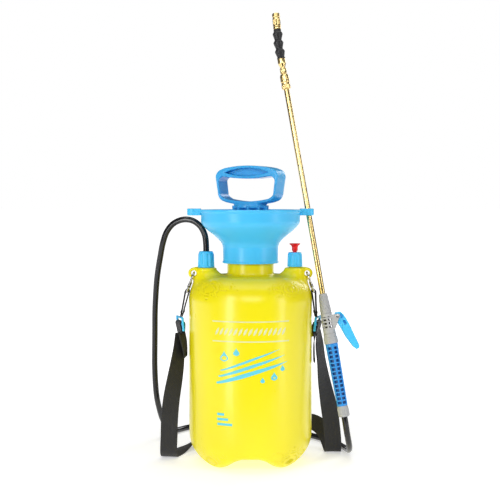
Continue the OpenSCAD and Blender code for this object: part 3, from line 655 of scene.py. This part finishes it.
tail_rows = {
    "left": [[[-101, -4, 190], [0.35, 1, 0]], [[-98, -4, 178], [0.3, 1, 0]], [[-96, -4, 166], [0.2, 1, 0]],
             [[-95, -4, 154], [0.1, 1, 0]]],
    "right": [[[95, -1, 190], [0.25, 1, 0]], [[93.4, -2, 175], [0.05, 1, 0]], [[93.2, -3, 160], [0, 1, 0]],
              [[93.6, -4, 146], [0, 1, 0]]],
}
STRAP_W, STRAP_T = 25, 1.5


def belt(name, rows, nodes=(), place=None, spacing=3.0):
    points, faces, uv, path = ribbon(rows, STRAP_W, STRAP_T, spacing)
    obj = piece(name, points, faces, WEBBING, "tank", "webbing", nodes, place, sharp=50, uv=uv, closed=False)
    return obj, path


def tack(name, rows, place=None):
    """A bar of stitching across the webbing, both faces."""
    parts = []
    for centre, side, normal in rows:
        c, s, n = (np.array(v, float) for v in (centre, side, normal))
        s, n = s / np.linalg.norm(s), n / np.linalg.norm(n)
        down = np.cross(s, n)
        for face in (-1, 1):
            zigzag = [c + s * (-9.5 + 19 * k / 38) + down * (1.5 if k % 2 else -1.5)
                      + n * face * (STRAP_T / 2 + 0.12) for k in range(39)]
            parts.append(tube(zigzag, 0.28, 6, start=n))
    points, faces = joined(*parts)
    return piece(name, points, faces, THREAD, "tank", "webbing", (), place)


def buckle_field(x, y, z):
    """A ladder buckle: a frame with two openings and a round bar between them."""
    d = brick(x, y, z, (0, 0, 0), (1.8, 15.5, 10.5), 1.5)
    for z0 in (-4.9, 4.9):
        d = both(d, -brick(x, y, z, (0, 0, z0), (6, 12.6, 3.1), 1.2), 1.2)
    return either(d, np.hypot(x, z) - 2.0 + np.maximum(np.abs(y) - 13, 0), 0.8)


# How far each side's webbing leans in, where its buckle is and how far that is turned
FITTINGS = {"left": (13, 103, 20), "right": (5, 98, -16)}
BUCKLE_Z = 203
FOLD = [(-1.0, -37.5), (-1.25, -33), (-1.7, -20), (-2.2, -9), *arc(0, 0, 2.7, 190, -10, 10),
        (2.2, -9), (1.7, -20), (1.25, -33), (1.0, -37.5)]
strap, strap_path = belt("shoulder_webbing", strap_rows, ["shoulder_strap"])
for side, word in SIDES:
    lean, buckle_x, yaw = FITTINGS[word]
    eye = (side * (HOLE_X + EYE_DROP * math.sin(HOOK_LEAN)), 0, HOLE_Z - EYE_DROP * math.cos(HOOK_LEAN))
    at_eye = Matrix.Translation(eye) @ Matrix.Rotation(math.radians(-side * lean), 4, "Y")
    (belt("fold_" + word, [[[x, 0, z], [0, 1, 0]] for x, z in FOLD],
                         ["webbing_loop_" + word], at_eye, 1.0)[0])
    # The scale carries the two rows of stitches out to the fold's faces
    tack("tack_" + word, [[(0, 0, -30.5), (0, 1, 0), (1, 0, 0)]],
                         at_eye @ Matrix.Scale(2.4, 4, (1, 0, 0)))
    belt("tail_" + word, tail_rows[word], ["strap_tail_" + word])[0]
    end = tail_rows[word][-1]
    tack("hem_" + word, [[np.array(end[0]) + (0, 0, 5), end[1], (1, -0.05, 0)]])
    on_buckle = (Matrix.Translation((side * buckle_x, 0, BUCKLE_Z)) @ Matrix.Rotation(math.radians(yaw), 4,
                                                                                      "Z")
                 @ Matrix.Rotation(math.radians(side * 6), 4, "Y"))
    points, faces = skin(buckle_field, (-4, -17, -12), (4, 17, 12), 0.4)
    piece("ladder_buckle_" + word, points, faces, SKY, "tank", "handle_plastic",
                          ["buckle_" + word], on_buckle)
    wrap = [(-1.5 * side, -14), (-2.6 * side, -8)] + [
        (-side * x, z) for x, z in arc(0, 0.2, 3.6, -10, 190, 8)] + [(2.6 * side, -8), (2.0 * side, -14)]
    belt("wrap_" + word, [[[x, 0, z], [0, 1, 0]] for x, z in wrap], (), on_buckle, 1.0)[0]


# ---------- tank ----------

TANK_R, WALL = 90, 2.6
# The rounding at the base and at the shoulder: radius, and the height of its centre
BASE_R, BASE_Z = 60, 46
SHOULDER_R, SHOULDER_Z = 36, 238
NECK_R, NECK_TOP = 34, 312
LUG = [(60, 284.2), (82, 285.2), *arc(HOLE_X, HOLE_Z, 8.2, 75, -80, 12), (80, 262), (76, 250), (60, 246)]


def tank_outside(x, y, z):
    rho, ax = np.hypot(x, y), np.abs(x)
    base = np.hypot(np.maximum(rho - (TANK_R - BASE_R), 0), np.minimum(z - BASE_Z, 0)) - BASE_R
    top = np.hypot(np.maximum(rho - (TANK_R - SHOULDER_R), 0), np.maximum(z - SHOULDER_Z, 0)) - SHOULDER_R
    body = both(np.where(z < (BASE_Z + SHOULDER_Z) / 2, base, top), -z, 4)
    # Two crossing valleys underneath leave four feet
    for t in (x, y):
        valley = both((np.abs(t) - 38 + 1.1667 * z) / 1.5366, z - 18, 7)
        body = both(body, -valley, 9)
    neck = both(rho - NECK_R, z - NECK_TOP, 0.8)
    for ring_z in (297, 302, 307):
        neck = either(neck, np.hypot(rho - (NECK_R + 0.3), z - ring_z) - 0.9, 0.5)
    body = either(body, np.maximum(neck, 262 - z), 5)
    # Each side's boss narrows upwards, and a thin lug reaches out from it
    t = np.clip((z - 252) / 30, 0, 1)
    cone = (np.hypot(ax - 54 - 11 * t, y) - 31 + 15.5 * t) * 0.86
    boss = both(np.maximum(cone, 240 - z), z - BOSS_TOP, 2.5)
    lug = slab(polygon_field(ax, z, LUG), y, 4, 2.2)
    body = either(body, either(boss, lug, 4), 7)
    body = either(body, np.maximum(np.hypot(ax - BOSS_X, y) - 8.6, np.abs(z - BOSS_TOP) - 4), 1)
    # The pad on the right side
    body = either(body, brick(x, y, z, (90.2, 8, 191.5), (4, 6, 8.5), 1.6), 3)
    return both(body, -(np.hypot(ax - HOLE_X, z - HOLE_Z) - HOLE_R), 1.2)


def tank_wall(x, y, z):
    out = tank_outside(x, y, z)
    rho = np.hypot(x, y)
    hollow = both(out + WALL, z - 271.5, 2)
    hollow = np.minimum(hollow, np.maximum(rho - 29.5, 238 - z))
    return np.maximum(out, -hollow)


piece("blown_tank", *skin(tank_wall, (-94, -92, -2.2), (97, 92, 314), 1.7), YELLOW, "tank", "yellow_plastic",
      ["tank_shell"])


def printed(name, strokes, material, radius=TANK_R + 0.12):
    """Flat marks printed on the tank's front: each stroke is a path of (across, height, half width)."""
    parts = []
    for stroke in strokes:
        p = flowing([(x, z, w) for x, z, w in stroke], 1.6)
        t = np.gradient(p[:, :2], axis=0)
        t /= np.maximum(np.linalg.norm(t, axis=1, keepdims=True), 1e-9)
        n = np.stack([-t[:, 1], t[:, 0]], -1)
        left, right = p[:, :2] + n * p[:, 2:], p[:, :2] - n * p[:, 2:]
        rows = []
        for q, r in ((left, radius), (left, radius - 0.4), (right, radius - 0.4), (right, radius)):
            a = q[:, 0] / TANK_R
            rows.append(np.stack([r * np.sin(a), -r * np.cos(a), q[:, 1]], -1))
        m = len(p)
        faces = [(k * m + i, k * m + i + 1, (k + 1) % 4 * m + i + 1, (k + 1) % 4 * m + i)
                 for k in range(4) for i in range(m - 1)]
        faces += [(0, m, 2 * m, 3 * m), (m - 1, 4 * m - 1, 3 * m - 1, 2 * m - 1)]
        parts.append((np.concatenate(rows), faces))
    points, faces = joined(*parts)
    piece(name, points, faces, material, "tank", "yellow_plastic", sharp=40)


def drop(x, z, size):
    """A falling drop, its tip up."""
    out = []
    for k in range(13):
        t = k / 12
        w = 0.42 * size * math.sin(math.pi * t ** 1.9) ** 0.75 if 0 < t < 1 else 0.02
        out.append((x, z + size * (0.5 - t), max(w, 0.02)))
    return out


# A band of slanting leaves between two lines
pale = [[(x, z, 0.8) for x in (-57, -30, 0, 30, 58)] for z in (214.6, 186.9)]
for x in range(-49, 50, 7):
    pale.append([(x - 3, 195.4, 0.15), (x - 1.2, 198.4, 1.5), (x + 1.2, 203, 1.5), (x + 3, 206, 0.15)])
printed("print_band", pale, PRINT_PALE)
# Three jets, each thickest in its middle, and the drops about them
spray = []
for lift, reach, thick in ((0, 55, 2.9), (11, 47, 2.2), (21, 36, 1.6)):
    jet = []
    for t in np.linspace(0, 1, 12):
        swell = math.sin(math.pi * min(1, 0.12 + 0.88 * t)) ** 0.8
        jet.append((-50 + 1.5 * lift * 0.2 + (reach + 50) * t,
                    128 + lift * 0.85 + 30 * t ** 1.6 + 5 * math.sin(math.pi * t), max(0.15, thick * swell)))
    spray.append(jet)
for x, z, size in ((-38, 166, 15), (-20, 172.5, 11), (34, 138, 12), (47, 149, 9), (17, 133, 8)):
    spray.append(drop(x, z, size))
printed("print_spray", spray, PRINT_BLUE)
# Three level bars
printed("print_level", [[(-49, z, 1.7), (-49 + w / 2, z, 1.7), (-49 + w, z, 1.7)]
                        for z, w in ((84, 11), (77, 17), (70, 23))], PRINT_BLUE)


# ---------- funnel and its clips ----------

BOWL_FLARE, FUNNEL_T = 31.4, 2.6


def bowl_r(z):
    return 41.0 + BOWL_FLARE * float(smooth((z - 316) / 38))


heights = np.arange(319, 355.1, 1.5)
bowl = [(bowl_r(z), z) for z in heights]
inner = [(bowl_r(z) - FUNNEL_T, max(318, z + 1)) for z in heights[::-1]]
socket = [(29.8, 314), (35.7, 314), (35.7, 292), (41.2, 292), (41.2, 294), (40.2, 295.2), (40.5, 315)]
rim = [(72.8, 365), (75, 367), (75, 370), (70.2, 370), (70.2, 358)]
turned("filling_funnel", socket + bowl + rim + inner + [(35, 318), (29.8, 318)], 0.9, 180,
       SKY, "tank", "sky_plastic", ["funnel"], sharp=60)


def clip_field(x, y, z):
    ring = np.hypot(x - EAR_X, y) - 9
    arm = np.maximum(np.abs(y) - 9 - 0.12 * (EAR_X - x), np.maximum(x - EAR_X, 66 - x))
    flat = both(either(ring, arm, 1.5), -(np.hypot(x - EAR_X, y) - 5.3), 0.8)
    flat = both(flat, -np.maximum(np.abs(y) - 3.3, EAR_X - x), 1.2)
    # Hollow pocket under the arm, as moulded arms have
    pocket = brick(x, y, z, (74.5, 0, 361.5), (3.4, 5.6, 5.5), 1)
    d = both(slab(flat, z - EAR_Z, 5, 1.1), -pocket, 0.8)
    return both(d, -(np.hypot(x, y) - 73.2), 0.6)


points, faces = skin(clip_field, (64, -12, 359), (96, 12, 374), 0.55)
for side, word in SIDES:
    piece("lance_holder_" + word, points * (side, 1, 1), faces, SKY, "tank", "sky_plastic",
          ["lance_clip_" + word])


# ---------- pump ----------


def cap_field(x, y, z):
    rho = np.hypot(x, y)
    turn = np.arctan2(y, x)
    skirt = both(rho - 29.2, np.abs(z - 308) - 12, 0.8)
    notch = 1.1 * np.maximum(np.cos(24 * turn), 0) ** 1.5
    flange = both(rho - 33.5 + notch, np.abs(z - 323.5) - 3.5, 1)
    hub = both((rho - 15 - (338 - z) * 0.12) * 0.99, np.abs(z - 329) - 9, 1.2)
    near = (turn + math.pi / 12) % (math.pi / 6) - math.pi / 12
    rib = both(np.abs(rho * np.sin(near)) - 1.2, (rho - 32 + (z - 326) * 1.3) * 0.6, 0.6)
    rib = np.maximum(rib, np.maximum(12 - rho, np.abs(z - 328) - 6))
    d = either(either(skirt, flange, 0.8), either(hub, rib, 1.2), 1.0)
    return both(d, -(rho - 7), 0.6)


piece("pump_lid", *skin(cap_field, (-35, -35, 295), (35, 35, 339.5), 0.75), HANDLE, "pump", "handle_plastic",
      ["pump_cap"])
turned("barrel", [(0, 62), (21.5, 62), (21.5, 312), (19.5, 312), (19.5, 66), (0, 66)], 0.6, 96, WHITE, "pump",
       "white_plastic", ["pump_cylinder"], sharp=45)
turned("guide_bush", [(9, 328), (9, 338.6), (6.1, 338.6), (6.1, 328)], 0.4, 64, WHITE, "pump",
       "white_plastic", ["rod_guide_bush"], sharp=45)
turned("plunger_rod", [(0, 76.3), (5, 76.3), (5, 88.3), (6, 88.3), (6, 362), (0, 362)], 0.4, 48, WHITE,
       "handle", "white_plastic", ["piston_rod"], sharp=45)

YAW = math.radians(-27)
HALF_W = 50.5
LOOP_OUT = [*arc(0, 244, 190, 79, 101, 16), *arc(-HALF_W + 12, 417, 12, 115, 180, 8),
            *arc(-HALF_W + 17, 395, 13.5, 180, 245, 8), *arc(0, 527, 150, 257, 283, 16),
            *arc(HALF_W - 17, 395, 13.5, 295, 360, 8), *arc(HALF_W - 12, 417, 12, 0, 65, 8)]
LOOP_IN = [*arc(0, 645, 230, 260, 280, 12), *arc(39.5, 411, 6, 60, 0, 5), *arc(35.5, 395, 8, 0, -60, 5),
           *arc(0, 552, 170, 282, 258, 12), *arc(-35.5, 395, 8, 240, 180, 5),
           *arc(-39.5, 411, 6, 180, 120, 5)]


def handle_field(x, y, z):
    px, py = x * math.cos(YAW) + y * math.sin(YAW), -x * math.sin(YAW) + y * math.cos(YAW)
    flat = both(polygon_field(px, z, LOOP_OUT), -polygon_field(px, z, LOOP_IN), 1.5)
    loop = slab(flat, py, 15, 2.0)
    lens = both(np.hypot(px, z - 330.5) - 100, np.hypot(px, z - 536.5) - 118, 1.0)
    loop = both(loop, -both(lens, 5 - np.abs(py), 1.2), 1.4)
    rho, turn = np.hypot(px, py), np.arctan2(py, px)
    core = both(rho - 13 - np.maximum(z - 368, 0) * 0.6, np.abs(z - 360.5) - 18.5, 1)
    plate = both(rho - 24, np.abs(z - 374.5) - 2.5, 1)
    near = (turn + math.pi / 10) % (math.pi / 5) - math.pi / 10
    fin = np.maximum(np.abs(rho * np.sin(near)) - 1.5, np.maximum(8 - rho, rho - 25.5 - (z - 346) * 0.05))
    fin = both(fin, np.abs(z - 361) - 15, 0.8)
    return either(loop, either(core, either(plate, fin, 1.0), 1.2), 3)


piece("loop_handle", *skin(handle_field, (-53, -38, 340), (53, 38, 436), 0.85), HANDLE, "handle",
      "handle_plastic", ["pump_handle"])


# ---------- outlet nut and relief valve ----------


def fluted(count, depth, low, high, above):
    """A ripple of flutes round the outside of a nut between two heights."""
    def ripple(r, z, a):
        on = smooth((z - low) / 1.2) * smooth((high - z) / 1.2) * (r > above)
        return r - on * depth * smooth((np.cos(count * a) + 0.25) / 0.9)
    return ripple


NUT = Matrix.Translation((-BOSS_X, 0, 0))
turned("outlet_hand_nut", [(9.2, 285.5), (12.4, 285.5), (11.7, 304.5), (9.6, 309), (5, 309), (5, 302),
                           (9.2, 297)], 0.6, 160, SKY, "tank", "sky_plastic", ["hose_outlet_nut"], NUT,
       ripple=fluted(10, 1.15, 287.2, 306.6, 9.7), step=0.9)
CAP = Matrix.Translation((BOSS_X, 0, 0))
turned("relief_hand_cap", [(9, 286.5), (11.2, 286.5), (10.6, 304), (9.2, 307.5), (3.4, 307.5), (3.4, 304.5),
                           (9, 304.5)], 0.6, 160, SKY, "tank", "sky_plastic", ["relief_cap"], CAP,
       ripple=fluted(10, 0.95, 288, 305.6, 9.3), step=0.9)
knob = [(0, 293.5), (5.4, 293.5), (5.4, 295), (3, 295), (3, 309), (4.4, 310), (4.4, 313),
        *arc(9.6, 313.8, 5.3, 171, 113, 8), (8, 319.3), (8, 320.5), (1.5, 320.5), (0, 319.9)]
turned("pull_knob", knob, 0.35, 72, RED, "relief", "red_plastic", ["relief_knob"], CAP)


# ---------- spray gun ----------

turned("hose_gland", [(5, -301.5), (7.2, -301.5), (8.2, -299.5), (8.2, -289.5), (7.4, -285.8), (5, -285.8)],
       0.4, 160, GREY, "tank", "grey_plastic", ["grip_end_nut"], LANCE, ripple=fluted(14, 0.7, -300, -289, 7),
       step=0.8)


def grip_windows(x, y, z):
    """Two columns of windows on the front and on the back of the grip."""
    r = 7.7 + (z + 285.8) / 91.3 * 1.5
    rho = np.hypot(x, y)
    d = both(rho - r, np.abs(z + 240.15) - 45.65, 0.8)
    row = (z + 241) % 6.1 - 3.05
    up = np.maximum(np.abs(row) - 1.95, np.abs(z + 241) - 42.5)
    for face in (1, -1):
        for turn in (-32, 32):
            a = math.radians(turn)
            lx = np.cos(a) * x + np.sin(a) * y * face
            ly = -np.sin(a) * x + np.cos(a) * y * face
            window = np.maximum(np.maximum(np.abs(lx) - 3.0, up), ly + 4.5)
            d = both(d, -window, 0.7)
    return both(d, -(rho - 5.7), 0.4)


piece("hand_grip", *skin(grip_windows, (-10.5, -10.5, -287), (10.5, 10.5, -193.5), 0.5), GRIP, "tank",
      "handle_plastic", ["grip"], LANCE)
# Painted shade: the windows open onto a tube in a darker copy of the grip's blue, so they read dark
turned("grip_window_shade", [(5.0, -284), (5.6, -284), (5.6, -197), (5.0, -197)], 0.2, 64, GRIP_SHADE, "tank",
       "handle_plastic", (), LANCE)
turned("clamp_ring", [(5.2, -194.5), (10.2, -194.5), (10.2, -186), (9.4, -184.5), (9.4, -180), (5.2, -180)],
       0.5, 160, GREY, "tank", "grey_plastic", ["grip_collar"], LANCE,
       ripple=fluted(16, 0.4, -193.4, -186.4, 9.8), step=0.8)
PIVOT = (15, -157)
CHEEK = [(0, -176), (9, -174), *arc(PIVOT[0], PIVOT[1], 3.7, -60, 120, 10), (0, -152)]


def body_field(x, y, z):
    rho = np.hypot(x, y)
    d = both(rho - 9 + 0.5 * smooth((z + 170) / 18), np.abs(z + 165) - 15, 0.8)
    cheeks = slab(polygon_field(x, z, CHEEK), np.abs(y) - 6.2, 1.6, 0.6)
    d = either(d, cheeks, 1.2)
    # Ribs and slots on both faces, either side of a centre spine
    slots = np.maximum(np.abs((z + 165 + 2.6) % 5.2 - 2.6) - 1.3, np.abs(z + 164.5) - 9.2)
    slots = np.maximum(np.maximum(slots, 1.4 - np.abs(x + 0.5)), 5.5 - rho + np.maximum(np.abs(x) - 8.5, 0))
    slots = np.maximum(np.maximum(slots, 3.0 - np.abs(y)), x - 5.5)
    d = both(both(d, -slots, 0.5), 5.5 - rho, 0.4)
    nose = brick(x, y, z, (7, 0, -163), (7, 4.3, 11), 0.6)
    return both(d, -nose, 0.6)


piece("valve_housing", *skin(body_field, (-11, -10.5, -181.5), (21.5, 10.5, -148.5), 0.42), GREY, "tank",
      "grey_plastic", ["gun_body"], LANCE)


def valve_sleeve(x, y, z):
    """The black sleeve behind the housing's slots, open where the lever reaches in."""
    ring = np.maximum(np.abs(np.hypot(x, y) - 5.0) - 0.45, np.abs(z + 164.5) - 9.8)
    return np.maximum(ring, -brick(x, y, z, (7, 0, -163), (8, 4.2, 14), 0.4))


piece("valve_sleeve", *skin(valve_sleeve, (-6.4, -6.4, -175.4), (6.4, 6.4, -153.6), 0.4), RUBBER, "tank",
      "black_rubber", (), LANCE, sharp=50)
NECK = [(6.2, -158.3), (11, -154), (13.5, -151), (20.5, -151), (24.5, -156), (29.5, -170), (34.5, -188),
        (39, -204), (38.2, -207.2), (34.5, -208.3), (30, -203.5), (21.8, -188), (14.5, -168), (11.5, -162.5),
        (6.2, -160.3)]
BLADE = [(23.5, -159), (26.3, -161), (29.5, -170), (34.5, -188), (39, -204), (38.2, -207.2), (34.5, -208.3),
         (30, -203.5), (22.5, -188), (19.5, -177), (20, -170)]


def groove(x, z, a, b, r):
    """Distance in the plane to a slot with round ends from a to b."""
    ex, ez = b[0] - a[0], b[1] - a[1]
    t = np.clip(((x - a[0]) * ex + (z - a[1]) * ez) / (ex * ex + ez * ez), 0, 1)
    return np.hypot(x - a[0] - ex * t, z - a[1] - ez * t) - r


def lever_field(x, y, z):
    neck = slab(polygon_field(x, z, NECK), y, 4, 0.9)
    blade = slab(polygon_field(x, z, BLADE), y, 7 - np.clip((-170 - z) * 0.055, 0, 2.2), 1.1)
    d = either(neck, blade, 2.0)
    # Two moulded recesses in each face under the pivot, and a thumb bump on the outside
    for a, b in (((20.6, -156.5), (21.6, -159.5)), ((23.4, -165.5), (24.6, -169.5))):
        d = both(d, -np.maximum(groove(x, z, a, b, 1.7), 1.5 - np.abs(y)), 0.5)
    bump = np.sqrt((x - 30.6) ** 2 + (y * 0.5) ** 2 + (z + 177) ** 2) - 2.0
    return either(d, bump, 1.2)


piece("squeeze_lever", *skin(lever_field, (5, -8.5, -209.5), (41, 8.5, -149.5), 0.5), SKY, "trigger",
      "sky_plastic", ["trigger"], LANCE)
TO_Y = Matrix.Translation((PIVOT[0], 0, PIVOT[1])) @ Matrix.Rotation(math.radians(90), 4, "X")
turned("lever_pin", [(0, -8.6), (2.4, -8.6), (2.4, -7.9), (1.5, -7.7), (1.5, 7.7), (2.4, 7.9), (2.4, 8.6),
                     (0, 8.6)], 0.3, 40, NICKEL, "tank", "nickel", ["trigger_pin"], LANCE @ TO_Y)


def cone_ribs(r, z, a):
    """Slanting ribs on the gland's cone."""
    on = smooth((z + 148) / 2) * smooth((-123.5 - z) / 2) * (r > 5.2)
    return r + on * (0.5 * np.cos(11 * (a + (z + 150) * 0.08)) - 0.1)


turned("lance_gland", [(4.4, -150), (7.9, -150), (7.5, -141.5), (5.9, -121.4), (4.05, -121.4), (4.05, -140),
                       (4.4, -140)], 0.5, 176, GREY, "tank", "grey_plastic", ["lance_nut"], LANCE,
       ripple=cone_ribs, step=1.2)


# ---------- brass lance ----------

turned("outer_tube", [(3.4, -140), (4, -140), (4, 196), (3.4, 196)], 0.2, 48, BRASS, "tank", "brass",
       ["lance_tube"], LANCE)
turned("inner_tube", [(2.6, -64), (3.35, -64), (3.35, 216), (2.6, 216)], 0.2, 48, BRASS, "lance_top", "brass",
       ["lance_inner_tube"], LANCE)


def knurl(count, depth, low, high, above):
    """A ripple of fine ridges round a brass part between two heights."""
    def ripple(r, z, a):
        on = smooth((z - low) / 0.5) * smooth((high - z) / 0.5) * (r > above)
        return r - on * depth * (0.5 + 0.5 * np.cos(count * a))
    return ripple


def lock_field(x, y, z):
    rho = np.hypot(x, y)
    prof = [(4.05, 184), (5.4, 184), (6.5, 185.5), (6.5, 190), (6, 191), (6, 194), (6.5, 195), (6.5, 203.5),
            (5.2, 206.4), (3.75, 206.4), (3.75, 199), (5.4, 199), (5.4, 196.3), (4.05, 196.3)]
    d = polygon_field(rho, z, prof) - 0.05
    turn = np.arctan2(y, x)
    d = np.maximum(d, np.where((z > 185) & (z < 190.6), rho - 6.5 + 0.45 * (0.5 + 0.5 * np.cos(24 * turn)),
                               -1))
    for hx in (-2.6, 2.6):
        d = both(d, -np.maximum(np.hypot(x - hx, z - 198.6) - 0.85, y + 5.0), 0.25)
    return d


piece("telescope_lock", *skin(lock_field, (-7.2, -7.2, 183), (7.2, 7.2, 207.4), 0.24), BRASS, "lock_nut",
      "brass", ["lock_nut"], LANCE)
turned("top_collar", [(3.35, 207.8), (4.8, 207.8), (4.8, 213.8), (3.35, 213.8)], 0.4, 96, BRASS, "lance_top",
       "brass", ["nozzle_collar"], LANCE, ripple=knurl(28, 0.25, 208.8, 212.8, 4.2), step=0.5)
turned("cone_adapter", [(1.6, 213.8), (4.8, 213.8), (4.8, 215.2), (3.6, 216), (3.7, 217), (5.8, 222.5),
                        (5.8, 230), (3.4, 230), (3.4, 238), (1.6, 238)], 0.4, 64, BRASS, "lance_top", "brass",
       ["nozzle_adapter"], LANCE, sharp=40)

# The bellows: three flared bells, bending evenly from the lance's line to the nozzle's
bells = [(3.4, 230), (5.9, 230), (6.1, 231.6)]
for k in range(3):
    z0 = 13.3 * k
    bells += [(5.2, 232.6 + z0), (5.9, 235.2 + z0), (7.2, 239.6 + z0), (7.4, 240.6 + z0), (7.3, 241.6 + z0),
              (6.2, 243.2 + z0), (5.3, 244.6 + z0)]
bells += [(5.6, 272), (5.5, 274.4), (0, 274.4), (0, 238.3), (3.4, 238.3)]
points, faces = lathe(rounded(bells, 0.5), 80, None, 0.9)
share = smooth((points[:, 2] - 236) / 34) * NOZZLE_BEND
x, z = points[:, 0].copy(), points[:, 2] - PIVOT_U
points[:, 0] = x * np.cos(share) + z * np.sin(share)
points[:, 2] = PIVOT_U - x * np.sin(share) + z * np.cos(share)
bellows = piece("bell_bellows", points, faces, RUBBER, None, "black_rubber", ["flex_bellows"], LANCE,
                sharp=60)
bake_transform(bellows)

turned("swirl_body", [(1.2, 274.8), (5.6, 274.8), (5.6, 278), (4.4, 278), (4.4, 286), (1.2, 286)], 0.3, 64,
       BRASS, "nozzle", "brass", ["nozzle_body"], NOZZLE)
turned("spray_tip", [(4.95, 278.6), (5.7, 278.6), (5.7, 290), (5.2, 291), (5.2, 292.4), (5.7, 293.4),
                     (5.7, 297), (4.9, 298.4), (2.2, 298.4), (0.9, 297.2), (0.6, 296), (0.6, 294),
                     (4.95, 288)], 0.3, 128, BRASS, "nozzle_cap", "brass", ["nozzle_cap"], NOZZLE,
       ripple=knurl(30, 0.35, 280, 289, 5.3), step=0.5)


# ---------- snap hooks ----------


HOOK_R, HOOK_DROP = 9, 8.1


def wire_arc(a0, a1, n):
    """Points of the hook's round wire between two angles from its foot."""
    angles = [math.radians(a) for a in np.linspace(a0, a1, n)]
    return [(0, HOOK_R * math.sin(a), -HOOK_DROP - HOOK_R * math.cos(a)) for a in angles]


def rect_loop(half, top, bottom, corner):
    """Points round the swivel eye, a rectangle with round corners."""
    out = []
    for cy, cz, a0 in ((half - corner, top - corner, 0), (-half + corner, top - corner, 90),
                       (-half + corner, bottom + corner, 180), (half - corner, bottom + corner, 270)):
        out += [(0, y, z) for y, z in arc(cy, cz, corner, a0, a0 + 90, 6)]
    return out


SWIVEL = [(0, -22.6), (2.2, -22.6), (2.7, -21.8), (2.7, -20.4), (2.0, -20), (2.0, -19.4), (2.6, -19),
          (2.6, -17.4), (1.9, -16.6), (0, -16.6)]
y0, z0 = wire_arc(33, 33, 1)[0][1:]
for side, word in SIDES:
    points, faces = joined(tube(wire_arc(83.5, 378.5, 44), 1.6, 14, start=(1, 0, 0)),
                           lathe(rounded(SWIVEL, 0.3), 32),
                           tube(rect_loop(14, -21.6, -EYE_DROP, 2.4), 1.6, 12, True, start=(1, 0, 0)))
    piece("spring_hook_" + word, points, faces, NICKEL, "tank", "nickel", ["snap_hook_" + word],
          hanging(side), sharp=50)
    points, faces = joined(tube(wire_arc(34, 71.5, 12), 1.3, 12, start=(1, 0, 0)),
                           tube([(-1.7, y0, z0), (1.7, y0, z0)], 1.5, 16, start=(0, 0, 1)))
    piece("hook_latch_" + word, points, faces, NICKEL, "gate_" + word, "nickel", ["hook_gate_" + word],
          hanging(side))
